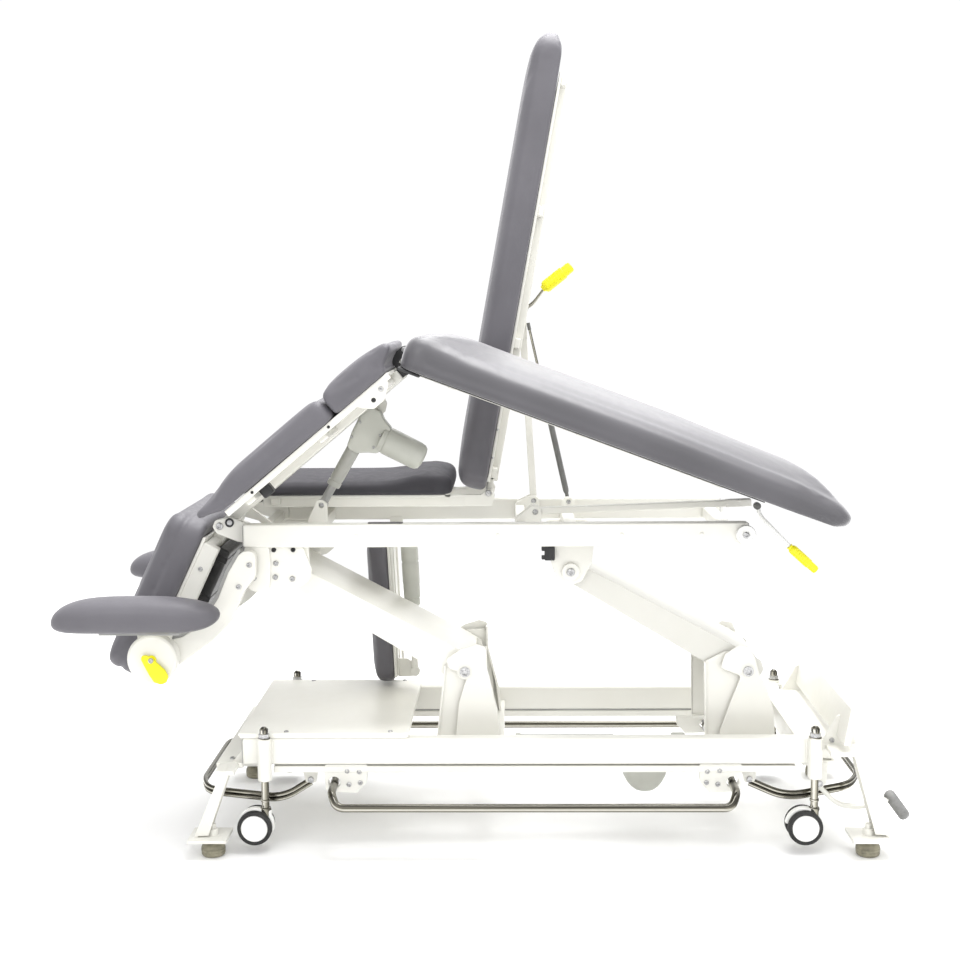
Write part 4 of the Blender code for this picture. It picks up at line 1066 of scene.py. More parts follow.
def build_lift():
    z = 0.185
    p = Piece("lift_drive_unit", "sage")
    p.add(g_lathe([(0.0086, 0.0), (0.0118, 0.0), (0.0125, 0.0008), (0.0125, 0.2390), (0.0118, 0.2400), (0.0, 0.2400), (0.0, 0.1400),
                   (0.0086, 0.1400), (0.0086, 0.0)], aim((0.060, 0.0, z), (0.3, 0.0, z)), 28), "mid_grey")
    p.add(g_lathe([(0.0088, 0.0), (0.0150, 0.0), (0.0158, 0.0015), (0.0158, 0.0120), (0.0150, 0.0140), (0.0088, 0.0140),
                   (0.0088, 0.0)], aim((0.058, 0, z), (0.2, 0, z)), 28))
    p.add(g_box((0.290, 0.400), (-0.036, 0.026), (z - 0.050, z - 0.002), 0.011, 4))
    # motor bowl below the gear box
    p.add(g_lathe([(0.0, 0.0), (0.0160, 0.0006), (0.0250, 0.0040), (0.0340, 0.0110), (0.0430, 0.0220), (0.0510, 0.0370),
                   (0.0560, 0.0520), (0.0575, 0.0640), (0.0575, 0.0700), (0.0590, 0.0710), (0.0590, 0.0790), (0.0550, 0.0800),
                   (0.0, 0.0800)], Matrix.Translation((0.371, -0.050, 0.0740)), 48))
    p.add(g_rod((0.395, 0.0, z), (0.470, 0.0, z), 0.0090), "steel")
    p.add(g_box((0.440, 0.476), (-0.014, 0.014), (z - 0.0145, z + 0.0145), 0.005, 3))
    for x in (0.304, 0.386):
        bolt(p, (x, -0.036, z - 0.020), (0, -1, 0), 0.004, 0.003)
    p.done("base", "lift_drive")
    p = Piece("lift_drive_rod", "chrome")
    p.add(g_rod((-0.041, 0.0, z), (0.180, 0.0, z), 0.0080, None, 0.0015, 28))
    p.add(g_lathe([(0.0, 0.0), (0.0100, 0.0), (0.0112, 0.0012), (0.0112, 0.0130), (0.0100, 0.0145), (0.0, 0.0145)],
                  aim((-0.0412, 0, z), (0.2, 0, z)), 28), "steel")
    p.done("drive_rod", "lift_rod")
    for node in ("lift_pin_low_left", "lift_pin_low_right", "lift_pin_high_left", "lift_pin_high_right"):
        NODES[node].data.materials.clear()
        NODES[node].data.materials.append(MAT["steel"])

    L = math.hypot(0.416, 0.238)
    for end, lx in (("left", -0.060), ("right", 0.605)):
        u, v = Vector((-0.416, 0.238)) / L, Vector((0.238, 0.416)) / L

        def at(points):
            return [(lx + u.x * a + v.x * b, 0.390 + u.y * a + v.y * b) for a, b in points]
        # left arm in the lighter powder coat copy (painted light), right arm in the darker copy (painted shade)
        p = Piece(f"lift_arm_{end}_sheet", "white_fresh" if end == "left" else "white_worn")
        outline = at([(-0.036, -0.018), (-0.024, -0.033), (0.0, -0.037), (L + 0.020, -0.026), (L + 0.034, -0.014),
                      (L + 0.034, 0.012), (L + 0.022, 0.022), (0.020, 0.035), (-0.020, 0.034), (-0.036, 0.018)])
        holes = [disc(lx, 0.390, 0.0125), disc(lx - 0.416, 0.628, 0.0125)]
        for side in (-1, 1):
            p.add(g_plate(outline, span(side, 0.1130, 0.1195), 0.0016, holes, 0.010))
        p.add(g_plate(at([(-0.006, 0.0352), (L + 0.010, 0.0222), (L + 0.010, 0.0172), (-0.006, 0.0302)]), (-0.1175, 0.1175), 0.0012))
        p.add(g_plate(at([(0.030, -0.0358), (L + 0.006, -0.0262), (L + 0.006, -0.0212), (0.030, -0.0308)]), (-0.1175, 0.1175), 0.0012))
        p.add(g_plate(at([(-0.0345, -0.016), (-0.0345, 0.016), (-0.0300, 0.016), (-0.0300, -0.016)]), (-0.1140, 0.1140), 0.0012))
        for cx, cz in ((lx, 0.390), (lx - 0.416, 0.628)):
            p.add(g_lathe([(0.0126, 0.0), (0.0185, 0.0), (0.0190, 0.002), (0.0190, 0.224), (0.0185, 0.226), (0.0126, 0.226),
                           (0.0126, 0.0)], aim((cx, -0.113, cz), (cx, 0.2, cz)), 32))
        if end == "left":
            lug = [(-0.078, 0.166), (-0.042, 0.166), (-0.042, 0.360), (-0.034, 0.380), (-0.086, 0.400), (-0.078, 0.360)]
            p.add(g_plate(lug, (-0.020, 0.020), 0.002, (), 0.006))
        p.done(f"arm_{end}", f"lift_arm_{end}")


build_lift()


# ---------------------------------------------------------------- top frame
def build_top():
    p = Piece("top_frame_tubes", "white")
    for side in (-1, 1):
        p.add(g_box((-0.558, 0.585), span(side, 0.210, 0.240), (0.703, 0.7568), 0.005, 3))
        for x in (-0.5582, 0.5852):
            p.add(g_box((x - 0.0015, x + 0.0015), span(side, 0.2135, 0.2365), (0.7065, 0.7535), 0.001), "mid_grey")
        ear = [(-0.520, 0.752), (-0.520, 0.7065), (-0.575, 0.714), (-0.622, 0.732), (-0.632, 0.748), (-0.626, 0.762),
               (-0.610, 0.767), (-0.592, 0.771), (-0.578, 0.766), (-0.548, 0.753)]
        p.add(g_plate(ear, span(side, 0.1985, 0.2150), 0.0022, [disc(-0.592, 0.758, 0.0071), disc(-0.615, 0.750, 0.0074)],
                      0.006))
        left_plate = [(-0.557, 0.706), (-0.500, 0.706), (-0.497, 0.660), (-0.500, 0.612), (-0.520, 0.598), (-0.545, 0.604),
                      (-0.557, 0.624)]
        p.add(g_plate(left_plate, span(side, 0.2270, 0.2345), 0.0018, (), 0.010))
        right_plate = [(-0.508, 0.706), (-0.424, 0.706), (-0.404, 0.652), (-0.408, 0.628), (-0.428, 0.612), (-0.470, 0.603),
                       (-0.508, 0.606)]
        p.add(g_plate(right_plate, span(side, 0.2210, 0.2285), 0.0018, (), 0.010))
        p.add(g_plate([(-0.556, 0.706), (-0.412, 0.706), (-0.408, 0.640), (-0.470, 0.612), (-0.556, 0.620)],
                      span(side, 0.2140, 0.2220), 0.002, (), 0.008))
        for bx, bz, by in ((-0.539, 0.684, 0.2345), (-0.536, 0.633, 0.2345), (-0.486, 0.666, 0.2285), (-0.488, 0.634, 0.2285),
                           (-0.449, 0.630, 0.2285)):
            bolt(p, (bx, side * by, bz), (0, side, 0), 0.0064, 0.005)
        for bx in (-0.490, -0.446):
            bolt(p, (bx, side * 0.2285, 0.6970), (0, side, 0), 0.0055, 0.006, "black")
        for end_x in (-0.476, 0.189):
            arm = [(end_x - 0.052, 0.712), (end_x + 0.056, 0.712), (end_x + 0.050, 0.650), (end_x + 0.026, 0.604),
                   (end_x - 0.002, 0.594), (end_x - 0.030, 0.604), (end_x - 0.046, 0.650)]
            p.add(g_plate(arm, span(side, 0.1305, 0.1380), 0.0016, [disc(end_x, 0.628, 0.0124)], 0.012))
            p.add(g_lathe([(0.0, 0.0), (0.0205, 0.0), (0.0210, 0.001), (0.0210, 0.0075), (0.0195, 0.009), (0.0, 0.009)],
                          aim((end_x, side * 0.1380, 0.628), (end_x, side * 0.3, 0.628)), 32))
            bolt(p, (end_x, side * 0.1470, 0.628), (0, side, 0), 0.0100, 0.006)
    for x0, x1, z1 in ((-0.555, -0.530, 0.728), (-0.430, -0.400, 0.735), (0.060, 0.085, 0.745), (0.175, 0.205, 0.735),
                       (0.540, 0.570, 0.735)):
        p.add(g_box((x0, x1), (-0.214, 0.214), (0.705, z1), 0.004, 3))
    p.add(g_plate([(-0.560, 0.735), (-0.530, 0.708), (-0.530, 0.732), (-0.575, 0.766), (-0.592, 0.7705), (-0.605, 0.765),
                   (-0.605, 0.748)], (-0.022, -0.010), 0.0018, [disc(-0.592, 0.758, 0.0071)], 0.004))
    for x, z, y in ((0.107, 0.767, -0.105), (0.108, 0.755, 0.190)):
        for off in (-0.0215, 0.0115):
            lug = [(x - 0.048, 0.715), (x + 0.014, 0.715), (x + 0.014, z + 0.004), (x + 0.005, z + 0.013),
                   (x - 0.010, z + 0.013), (x - 0.044, 0.752)]
            p.add(g_plate(lug, (y + off, y + off + 0.010), 0.0014, [disc(x, z, 0.0064)], 0.005))
    p.add(g_plate([(0.178, 0.715), (0.210, 0.715), (0.210, 0.758), (0.202, 0.768), (0.186, 0.768), (0.178, 0.758)],
                  (0.1450, 0.1545), 0.0014, [disc(0.1956, 0.755, 0.0054)], 0.004))
    p.add(g_plate([(-0.425, 0.712), (-0.378, 0.712), (-0.378, 0.790), (-0.388, 0.798), (-0.402, 0.798), (-0.425, 0.750)],
                  (-0.1345, -0.1260), 0.0014, [disc(-0.392, 0.786, 0.0064)], 0.006))
    for y in (0.2090, 0.2330):
        p.add(g_plate([(-0.262, 0.712), (-0.228, 0.712), (-0.231, 0.684), (-0.238, 0.676), (-0.252, 0.676), (-0.259, 0.684)],
                      (y, y + 0.008), 0.0012, [disc(-0.245, 0.690, 0.0064)], 0.004))
    for side in (-1, 1):
        for x in (-0.300, 0.020, 0.300, 0.480):
            bolt(p, (x, side * 0.2400, 0.730), (0, side, 0), 0.0045, 0.0025, "white", False)
    p.done("top", "top_frame")

    q = Piece("top_frame_fittings", "black")
    for side in (-1, 1):
        hole = aim((-0.592, side * 0.2150, 0.758), (-0.592, side * 0.4, 0.758))
        q.add(g_lathe([(0.0, 0.0005), (0.0060, 0.0005), (0.0066, 0.0035), (0.0098, 0.0035), (0.0104, 0.0020), (0.0104, 0.0),
                       (0.0, 0.0)], hole, 28))
        bolt(q, (-0.615, side * 0.2150, 0.750), (0, side, 0), 0.0085, 0.006, "steel")
        # roller disc at the foot end of each rail
        roll = aim((0.578, side * 0.2405, 0.729), (0.578, side * 0.4, 0.729))
        q.add(g_lathe([(0.0, 0.0), (0.0215, 0.0), (0.0225, 0.0015), (0.0225, 0.0100), (0.0210, 0.0120), (0.0165, 0.0125),
                       (0.0155, 0.0112), (0.0, 0.0112)], roll, 40), "hub")
        bolt(q, (0.578, side * 0.2515, 0.729), (0, side, 0), 0.0080, 0.0055, "steel")
    # slotted strip on top of the near rail
    slot = [(-0.275, -0.235), (-0.195, -0.235), (-0.195, -0.216), (-0.275, -0.216)]
    strip = g_plate([(a, b) for a, b in round_outline(slot, 0.006)], (-0.0012, 0.0012), 0.0006)
    bmesh.ops.transform(strip, matrix=Matrix.Translation((0, 0, 0.7574)) @ Matrix.Rotation(rad(-90), 4, "X"), verts=strip.verts)
    for v in strip.verts:
        v.co.y = -abs(v.co.y)
    bmesh.ops.recalc_face_normals(strip, faces=strip.faces)
    q.add(strip)
    # clip beside the upper pivot of the foot end arm
    q.add(g_box((0.128, 0.152), (-0.152, -0.130), (0.656, 0.690), 0.003, 3))
    q.add(g_box((0.121, 0.132), (-0.149, -0.133), (0.678, 0.688), 0.002))
    q.add(g_box((0.121, 0.132), (-0.149, -0.133), (0.658, 0.667), 0.002))
    q.done("top")


build_top()


# ---------------------------------------------------------------- section frames
def build_frames():
    p = Piece("seat_frame_tubes", "white")
    p.add(g_box((-0.580, -0.110), (0.030, 0.370), (0.7820, 0.7894), 0.002, 2))
    p.add(g_box((-0.560, -0.060), (0.050, 0.080), (0.7574, 0.7830), 0.004, 3))
    p.add(g_box((-0.510, -0.060), (0.2165, 0.2370), (0.7574, 0.7830), 0.004, 3))
    p.add(g_box((-0.540, -0.515), (0.040, 0.350), (0.7640, 0.7830), 0.004, 3))
    for y in (0.0505, 0.2180):
        p.add(g_plate([(-0.100, 0.760), (0.004, 0.7578), (0.011, 0.786), (0.004, 0.799), (-0.010, 0.799), (-0.022, 0.787),
                       (-0.100, 0.7855)], (y, y + 0.010), 0.0015, [disc(-0.005, 0.790, 0.0074)], 0.005))
    p.done("top", "seat_frame_far")

    p = Piece("mid_frame_tubes", "white")
    p.add(g_box((0.046, 0.512), (-0.372, -0.030), (-0.0060, 0.0010), 0.002, 2), None, MID)
    p.add(g_box((0.046, 0.512), (-0.3745, -0.3700), (-0.0140, 0.0008), 0.0012), None, MID)
    eye = [(0.5592 + 0.0088 * math.cos(rad(a)), 0.0189 + 0.0088 * math.sin(rad(a))) for a in (-90, -45, 0, 45, 90)]
    knuckle = [(0.498, -0.028), (0.5270, -0.028), (0.5295, 0.0060)] + eye + [(0.5170, 0.0262), (0.5170, -0.0045),
                                                                           (0.498, -0.0045)]
    for y in (-0.170, -0.045):
        p.add(g_box((-0.008, 0.515), (y - 0.0125, y + 0.0125), (-0.030, -0.004), 0.004, 3), None, MID)
        p.add(g_plate(knuckle, (y - 0.0060, y + 0.0060), 0.0015, [disc(0.5592, 0.0189, 0.0063)], 0.003, MID), "black")
    p.add(g_rod((-0.592, -0.2170, 0.758), (-0.592, -0.0085, 0.758), 0.0065), "steel")
    for x0 in (0.090, 0.300, 0.470):
        p.add(g_box((x0, x0 + 0.025), (-0.360, -0.035), (-0.0240, -0.0050), 0.004, 3), None, MID)
    bracket = [(0.372, -0.004), (0.452, -0.004), (0.440, -0.048), (0.424, -0.060), (0.392, -0.060), (0.380, -0.048)]
    p.add(g_plate(bracket, (-0.0895, -0.0795), 0.0015, [disc(0.4019, -0.0451, 0.0064)], 0.006, MID))
    # bracket, holes and buffer along the outer edge of the pan
    side_plate = [(0.410, -0.003), (0.505, -0.003), (0.500, -0.020), (0.470, -0.041), (0.440, -0.041), (0.422, -0.024)]
    p.add(g_plate(side_plate, (-0.3740, -0.3700), 0.0012, [disc(0.452, -0.026, 0.0052)], 0.005, MID))
    bolt(p, tuple(MID @ Vector((0.480, -0.3740, -0.018))), (0, -1, 0), 0.0058, 0.004)
    bolt(p, tuple(MID @ Vector((0.452, -0.3715, -0.026))), (0, -1, 0), 0.0052, 0.003, "black")
    for s_at in (0.340, 0.120):
        bolt(p, tuple(MID @ Vector((s_at, -0.3742, -0.007))), (0, -1, 0), 0.0036, 0.002, "black")
    p.add(g_box((0.122, 0.150), (-0.330, -0.300), (-0.036, -0.004), 0.005, 3), "black", MID)
    p.done("mid", "mid_frame")

    p = Piece("leg_frame_tubes", "white")
    p.add(g_box((0.060, 0.860), (-0.340, -0.030), (-0.0345, -0.0304), 0.001, 2), "black", LEG)
    for y in (-0.135, -0.075):
        p.add(g_box((0.040, 0.800), (y - 0.0125, y + 0.0125), (-0.048, -0.034), 0.004, 3), None, LEG)
        p.add(g_box((-0.006, 0.060), (y - 0.0125, y + 0.0125), (-0.0400, -0.0315), 0.002), None, LEG)
        p.add(g_box((-0.006, 0.0045), (y - 0.0125, y + 0.0125), (-0.0400, 0.0060), 0.002), None, LEG)
    for x0 in (0.120, 0.430, 0.760):
        p.add(g_box((x0, x0 + 0.025), (-0.200, -0.035), (-0.0460, -0.0340), 0.004, 3), None, LEG)
    p.add(g_rod((0.0, -0.190, 0.0), (0.0, -0.025, 0.0), 0.0060), "steel", LEG)
    p.add(g_box((0.010, 0.062), (-0.372, -0.300), (-0.0372, -0.0302), 0.003, 3), "black", LEG)
    p.done("leg", "leg_frame")

    p = Piece("back_frame_tubes", "white")
    p.add(g_box((0.030, 1.020), (0.030, 0.360), (0.0010, 0.0080), 0.002, 2), None, BACK)
    for y in (0.085, 0.300):
        p.add(g_box((0.030, 1.020), (y - 0.0125, y + 0.0125), (-0.0170, 0.0020), 0.003, 3), None, BACK)
    for x0 in (0.040, 0.360, 0.680, 0.990):
        p.add(g_box((x0, x0 + 0.025), (0.040, 0.345), (-0.0120, 0.0020), 0.003, 3), None, BACK)
    p.add(g_rod((0.0, 0.0450, 0.0), (0.0, 0.2310, 0.0), 0.0070), "steel", BACK)
    p.add(g_box((-0.005, 0.040), (0.0725, 0.0975), (-0.0080, 0.0055), 0.002), None, BACK)
    p.add(g_box((-0.005, 0.040), (0.190, 0.205), (-0.0060, 0.0055), 0.002), None, BACK)
    for x0 in (0.090, 0.160):
        bolt(p, tuple(BACK @ Vector((x0, 0.0300, 0.0045))), (0, -1, 0), 0.003, 0.002)
    p.done("back", "back_frame")

    p = Piece("drop_frame_tubes", "white")
    p.add(g_box((-0.0236, -0.0165), (0.160, 0.360), (-0.390, -0.020), 0.002, 2), None, DROP)
    for y in (0.172, 0.225, 0.340):
        p.add(g_box((-0.0175, -0.0120), (y, y + 0.018), (-0.385, -0.030), 0.002), None, DROP)
    p.add(g_plate([(-0.016, -0.030), (-0.006, -0.030), (0.006, -0.006), (0.006, 0.003), (0.003, 0.006), (-0.004, 0.006),
                   (-0.016, -0.008)], (0.2185, 0.2315), 0.0012, (), 0.002, DROP))
    p.add(g_rod((0.0, 0.2060, 0.0), (0.0, 0.2440, 0.0), 0.0060), "steel", DROP)
    p.add(g_plate([(-0.016, -0.392), (0.030, -0.392), (0.038, -0.380), (0.034, -0.362), (0.010, -0.345), (-0.016, -0.345)],
                  (0.1780, 0.1860), 0.0014, [disc(0.030, -0.376, 0.0045)], 0.004, DROP))
    bolt(p, tuple(DROP @ Vector((0.030, 0.1780, -0.376))), (0, -1, 0), 0.0085, 0.007)
    p.done("drop", "drop_frame")

    p = Piece("drop_ram", "sage")
    M = DROP @ aim((0.0330, 0.1720, -0.205), (0.0330, 0.1720, 0.1))
    p.add(g_lathe([(0.0, 0.0), (0.0180, 0.0), (0.0205, 0.003), (0.0205, 0.016), (0.0190, 0.018), (0.0190, 0.020), (0.0215, 0.022),
                   (0.0218, 0.110), (0.0205, 0.112), (0.0205, 0.116), (0.0218, 0.118), (0.0218, 0.188), (0.0190, 0.196),
                   (0.0, 0.199)], M, 36))
    p.add(g_rod((0.0300, 0.1680, -0.376), (0.0300, 0.1680, -0.195), 0.0085, None, 0.002), "white", DROP)
    p.add(g_rod((0.0300, 0.1600, -0.376), (0.0300, 0.1765, -0.376), 0.0125, None, 0.002), "white", DROP)
    p.done("drop", "drop_actuator")

    p = Piece("head_frame_tubes", "white")
    p.add(g_box((-0.350, -0.040), (-0.215, 0.215), (0.0170, 0.0246), 0.002, 2), None, HEAD)
    for y in (-0.100, 0.100):
        tube = [(-0.345, -0.0100), (0.004, -0.0100), (0.0095, -0.004), (0.0095, 0.004), (0.004, 0.0100), (-0.040, 0.0190),
                (-0.345, 0.0190)]
        p.add(g_plate(tube, (y - 0.0140, y + 0.0140), 0.003, (), 0.002, HEAD))
    for y in (-0.200, 0.200):
        p.add(g_box((-0.345, -0.050), (y - 0.0130, y + 0.0130), (-0.0200, 0.0190), 0.004, 3), None, HEAD)
    for x0 in (-0.340, -0.200, -0.075):
        p.add(g_box((x0, x0 + 0.025), (-0.190, 0.190), (-0.0060, 0.0180), 0.004, 3), None, HEAD)
    p.add(g_rod((0.0, -0.2180, 0.0), (0.0, 0.2180, 0.0), 0.0070), "steel", HEAD)
    p.add(g_box((-0.310, -0.060), (-0.150, 0.150), (-0.0400, -0.0080), 0.008, 3), "black", HEAD)
    for x0 in (-0.285, -0.185, -0.085):
        p.add(g_box((x0 - 0.006, x0 + 0.006), (-0.152, 0.152), (-0.0420, -0.0100), 0.002), "black", HEAD)
    for x0 in (-0.290, -0.110):
        bolt(p, tuple(HEAD @ Vector((x0, -0.2130, 0.000))), (0, -1, 0), 0.0055, 0.004)
        bolt(p, tuple(HEAD @ Vector((x0, 0.2130, 0.000))), (0, 1, 0), 0.0055, 0.004)
    p.done("head", "head_frame")


build_frames()


# ---------------------------------------------------------------- actuator, props, levers, gas spring
def build_actuator():
    top = Vector((-0.2696, -0.108, 0.9982))
    low = Vector((-0.392, -0.108, 0.786))
    down = (low - top).normalized()
    out = Vector((-down.z, 0.0, down.x))
    p = Piece("tilt_actuator_housing", "sage")
    Q = Matrix(((down.x, 0.0, out.x, top.x), (0.0, 1.0, 0.0, top.y), (down.z, 0.0, out.z, top.z), (0, 0, 0, 1)))
    # local: x down the screw, z out along the motor
    gear = [(-0.014, -0.014), (0.018, -0.024), (0.060, -0.022), (0.094, -0.016), (0.100, -0.006), (0.098, 0.012), (0.084, 0.034),
            (0.074, 0.056), (0.008, 0.056), (-0.002, 0.030), (-0.014, 0.014)]
    p.add(g_plate(gear, (-0.0235, 0.0175), 0.006, [], 0.010, Q))
    p.add(g_rod((0.0, -0.0125, 0.0), (0.0, 0.0290, 0.0), 0.0135, None, 0.002), None, Q)
    motor = Q @ aim((0.040, -0.003, 0.044), (0.032, -0.003, 0.2))
    p.add(g_lathe([(0.0, 0.0), (0.0310, 0.0), (0.0322, 0.0015), (0.0322, 0.0100), (0.0312, 0.0112), (0.0312, 0.0130),
                   (0.0326, 0.0142), (0.0330, 0.0200), (0.0325, 0.0900), (0.0306, 0.1010), (0.0255, 0.1080), (0.0140, 0.1112),
                   (0.0, 0.1118)], motor, 44))
    p.add(g_lathe([(0.0106, 0.0), (0.0165, 0.0), (0.0160, 0.104), (0.0150, 0.106), (0.0150, 0.109), (0.0164, 0.110), (0.0164, 0.120),
                   (0.0152, 0.123), (0.0106, 0.123), (0.0106, 0.0)],
                  Q @ Matrix.Translation((0.072, 0, 0)) @ Matrix.Rotation(rad(90), 4, "Y"), 36), "ash")
    for dx, dz in ((0.030, -0.016), (0.070, -0.016), (0.034, 0.040), (0.066, 0.040)):
        bolt(p, tuple(Q @ Vector((dx, -0.0235, dz))), (0, -1, 0), 0.0035, 0.0025)
    p.done("tilt_housing", "tilt_actuator")
    p = Piece("tilt_actuator_ram", "steel")
    p.add(g_rod(top + down * 0.134, top + down * 0.236, 0.0098, None, 0.001, 28), "mid_grey")
    p.add(g_rod(low + Vector((0, -0.0080, 0)), low + Vector((0, 0.0080, 0)), 0.0130, None, 0.002, 28), "mid_grey")
    p.add(g_rod(low + Vector((0, -0.0170, 0)), low + Vector((0, 0.0095, 0)), 0.0060, None, 0.001), "steel")
    p.done("tilt_rod", "tilt_actuator_rod")


build_actuator()


def build_props():
    def bar(name, a, b, half_y, half_t, y, body, node, pin):
        a, b = Vector((a[0], y, a[1])), Vector((b[0], y, b[1]))
        length = (b - a).length
        way = (b - a).normalized()
        Q = Matrix(((way.x, 0.0, -way.z, a.x), (0.0, 1.0, 0.0, a.y), (way.z, 0.0, way.x, a.z), (0, 0, 0, 1)))
        p = Piece(name, "white")
        p.add(g_box((0.010, length - 0.002), (-half_y, half_y), (-half_t, half_t), 0.0022, 3), None, Q)
        p.add(g_rod((0.0, -half_y, 0.0), (0.0, half_y, 0.0), half_t + 0.0035, None, 0.0015, 28), None, Q)
        p.add(g_rod((0.0, -pin, 0.0), (0.0, pin, 0.0), 0.0060, None, 0.001), "steel", Q)
        p.add(g_box((length - 0.060, length - 0.001), (-half_y - 0.0012, half_y + 0.0012), (-half_t - 0.0012, half_t + 0.0012),
                    0.002, 2), None, Q)
        p.done(body, node)

    bar("leg_prop_bar", (0.107, 0.767), (0.612, 0.785), 0.0110, 0.0075, -0.105, "prop_near", "leg_prop", 0.0215)
    bar("back_prop_bar", (0.108, 0.755), (0.081, 1.223), 0.0110, 0.0085, 0.190, "prop_far", "back_prop", 0.0195)

    def lever(name, pivot, knee, start, end, y, body, node, thick, rod):
        pts = [Vector((q[0], y, q[1])) for q in (pivot, knee, start, end)]
        p = Piece(name, "yellow")
        way = (pts[3] - pts[2]).normalized()
        p.add(g_tube([pts[0], pts[1], pts[2] + way * 0.01], 0.0046, 0.012, 14), rod)
        p.add(g_rod(pts[0] + Vector((0, -0.008, 0)), pts[0] + Vector((0, 0.008, 0)), 0.0085, None, 0.0015), "slate")
        length = (pts[3] - pts[2]).length + 0.004
        profile = [(0.0, -0.005), (0.0066, -0.005), (0.0080, -0.004), (0.60 * thick, 0.0), (0.88 * thick, 0.003), (thick, 0.008)]
        count = 6
        pitch = (0.66 * length - 0.012) / count
        for k in range(count):
            z = 0.009 + k * pitch
            profile += [(thick, z), (thick, z + 0.70 * pitch), (thick - 0.0006, z + 0.78 * pitch), (thick - 0.0006, z + 0.92 * pitch)]
        profile += [(thick, 0.66 * length), (0.97 * thick, 0.70 * length), (0.84 * thick, 0.72 * length),
                    (0.84 * thick, length - 0.006), (0.72 * thick, length - 0.0015), (0.40 * thick, length), (0.0, length)]
        p.add(g_lathe(profile, aim(pts[2], pts[3]), 28))
        p.done(body, node)

    lever("leg_release_lever", (0.626, 0.776), (0.634, 0.752), (0.706, 0.677), (0.764, 0.624), -0.105, "lever_near", "leg_lever",
          0.0112, "hub")
    lever("back_release_lever", (0.088, 1.2385), (0.110, 1.253), (0.136, 1.290), (0.202, 1.342), 0.190, "lever_far", "back_lever",
          0.0160, "chrome")

    low, high = Vector((0.1956, 0.166, 0.755)), Vector((0.0955, 0.166, 1.204))
    way = (high - low).normalized()
    M = aim(low, high)
    p = Piece("gas_spring_cylinder", "black")
    p.add(g_lathe([(0.0036, 0.082), (0.0036, 0.2700), (0.0060, 0.2702), (0.0070, 0.2690), (0.0074, 0.2660), (0.0074, 0.0300),
                   (0.0064, 0.0240), (0.0046, 0.0200), (0.0046, 0.0100), (0.0, 0.0100)], M, 28), "slate")
    p.add(g_rod(low + Vector((0, -0.0230, 0)), low + Vector((0, 0.0040, 0)), 0.0050, None, 0.001), "steel")
    p.add(g_rod(low + Vector((0, -0.0060, 0)), low + Vector((0, 0.0060, 0)), 0.0100, None, 0.0015), "black")
    p.done("spring_tube", "gas_spring_tube")
    p = Piece("gas_spring_piston", "chrome")
    p.add(g_rod(low + way * 0.168, high, 0.0032, None, 0.0008))
    p.add(g_rod(high - way * 0.018, high, 0.0044, None, 0.001), "slate")
    p.done("spring_rod", "gas_spring_rod")


build_props()


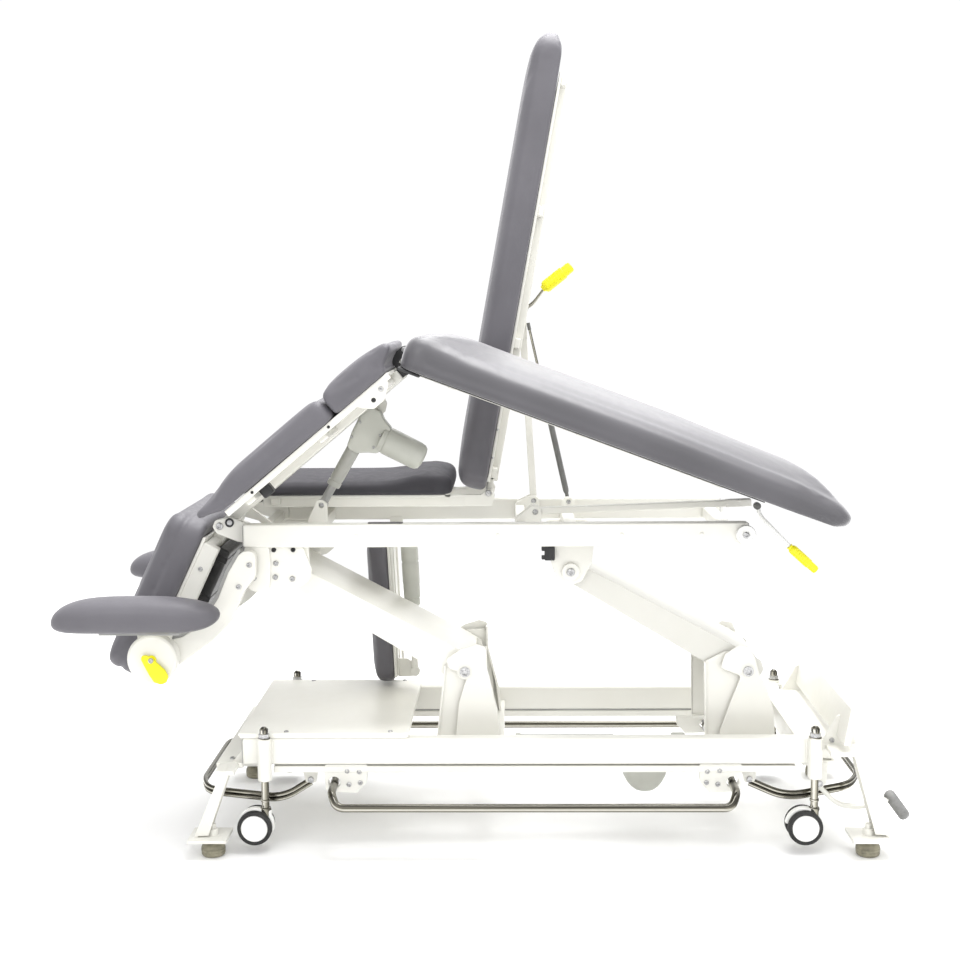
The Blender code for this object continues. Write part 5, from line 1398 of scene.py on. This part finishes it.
# ---------------------------------------------------------------- armrests
def build_armrests():
    lower = [(-0.526, 0.700), (-0.526, 0.640), (-0.552, 0.610), (-0.584, 0.539), (-0.631, 0.492), (-0.685, 0.453),
             (-0.716, 0.430), (-0.745, 0.418), (-0.775, 0.418), (-0.798, 0.440)]
    upper = [(-0.798, 0.478), (-0.775, 0.498), (-0.735, 0.494), (-0.700, 0.502), (-0.655, 0.530), (-0.615, 0.590),
             (-0.590, 0.650), (-0.560, 0.700)]
    for side, label in ((-1, "near"), (1, "far")):
        p = Piece(f"armrest_arm_{label}", "white")
        hole = [disc(HUB_X, HUB_Z, 0.0104)]
        p.add(g_plate(lower + upper, span(side, 0.2400, 0.2620), 0.0040, hole, 0.030))
        rim = upper[2:]
        flange = [(x - 0.0060, z + 0.0040) for x, z in rim] + [(x + 0.0010, z) for x, z in reversed(rim)]
        p.add(g_plate(flange, span(side, 0.2350, 0.2585), 0.0012, (), 0.006), "mid_grey")
        for bx, bz in ((-0.541, 0.668), (-0.566, 0.618)):
            bolt(p, (bx, side * 0.2620, bz), (0, side, 0), 0.0062, 0.0045)
        p.done("top", f"armrest_bar_{label}")
        p = Piece(f"armrest_disc_{label}", "white")
        p.add(g_lathe([(0.0, 0.0), (0.0540, 0.0), (0.0565, 0.0020), (0.0570, 0.0050), (0.0570, 0.0320), (0.0560, 0.0350),
                       (0.0530, 0.0370), (0.0500, 0.0374), (0.0490, 0.0368), (0.0180, 0.0368), (0.0170, 0.0374), (0.0, 0.0374)],
                      aim((HUB_X, side * 0.2626, HUB_Z), (HUB_X, side * 0.5, HUB_Z)), 56))
        neck = [(-0.040, 0.0730), (-0.036, 0.030), (0.038, 0.030), (0.045, 0.0730)]
        p.add(g_plate(neck, span(side, 0.2640, 0.2760), 0.002, (), 0.004, HUB))
        p.add(g_box((-0.042, 0.046), span(side, 0.2640, 0.3600), (0.0690, 0.0790), 0.002, 2), None, HUB)
        p.add(g_rod((HUB_X, side * 0.2400, HUB_Z), (HUB_X, side * 0.2800, HUB_Z), 0.0100, None, 0.001), "steel")
        p.add(g_box((-0.100, 0.080), span(side, 0.3150, 0.3650), (0.0700, 0.0770), 0.0015, 2), "mid_grey", HUB)
        p.done(f"armrest_{label}", f"armrest_hub_{label}")
        p = Piece(f"armrest_clamp_{label}", "yellow")
        drop = [(-0.010, 0.0130), (-0.0190, 0.0125), (-0.0225, 0.0040), (-0.0150, -0.0120), (-0.0040, -0.0340), (0.0060, -0.0490),
                (0.0210, -0.0550), (0.0345, -0.0500), (0.0390, -0.0360), (0.0320, -0.0210), (0.0130, -0.0030), (0.0010, 0.0090)]
        p.add(g_plate(drop, span(side, 0.3035, 0.3140), 0.0042, (), 0.010, HUB))
        p.add(g_lathe([(0.0, 0.0), (0.0105, 0.0), (0.0110, 0.001), (0.0110, 0.0050), (0.0, 0.0050)],
                      aim((HUB_X, side * 0.3003, HUB_Z), (HUB_X, side * 0.5, HUB_Z)), 28))
        bolt(p, (HUB_X + 0.001, side * 0.3135, HUB_Z + 0.001), (0, side, 0), 0.0062, 0.0040)
        p.done(f"clamp_{label}", f"armrest_lever_{label}")


build_armrests()

# ---------------------------------------------------------------- floor, size, finish
floor_mesh = bpy.data.meshes.new("floor")
bm = bmesh.new()
bmesh.ops.create_grid(bm, x_segments=8, y_segments=8, size=2.9)
bm.to_mesh(floor_mesh)
bm.free()
floor = bpy.data.objects.new("floor", floor_mesh)
floor.location = (0.0, 0.2, -0.0006)
SCENE.collection.objects.link(floor)
floor_finish = Finish("floor_paint", (0.93, 0.93, 0.93), 0.80)
floor_finish.tint(floor_finish.noise(0.7, 2.0), (0.920, 0.920, 0.920), (0.940, 0.940, 0.940))
floor_mesh.materials.append(floor_finish.mat)

for name, node in NODES.items():
    if not node.hide_render and not (node.data.materials and node.data.materials[0] in MAT.values()):
        node.data.materials.clear()
        node.data.materials.append(MAT["white"])

bpy.context.view_layer.update()
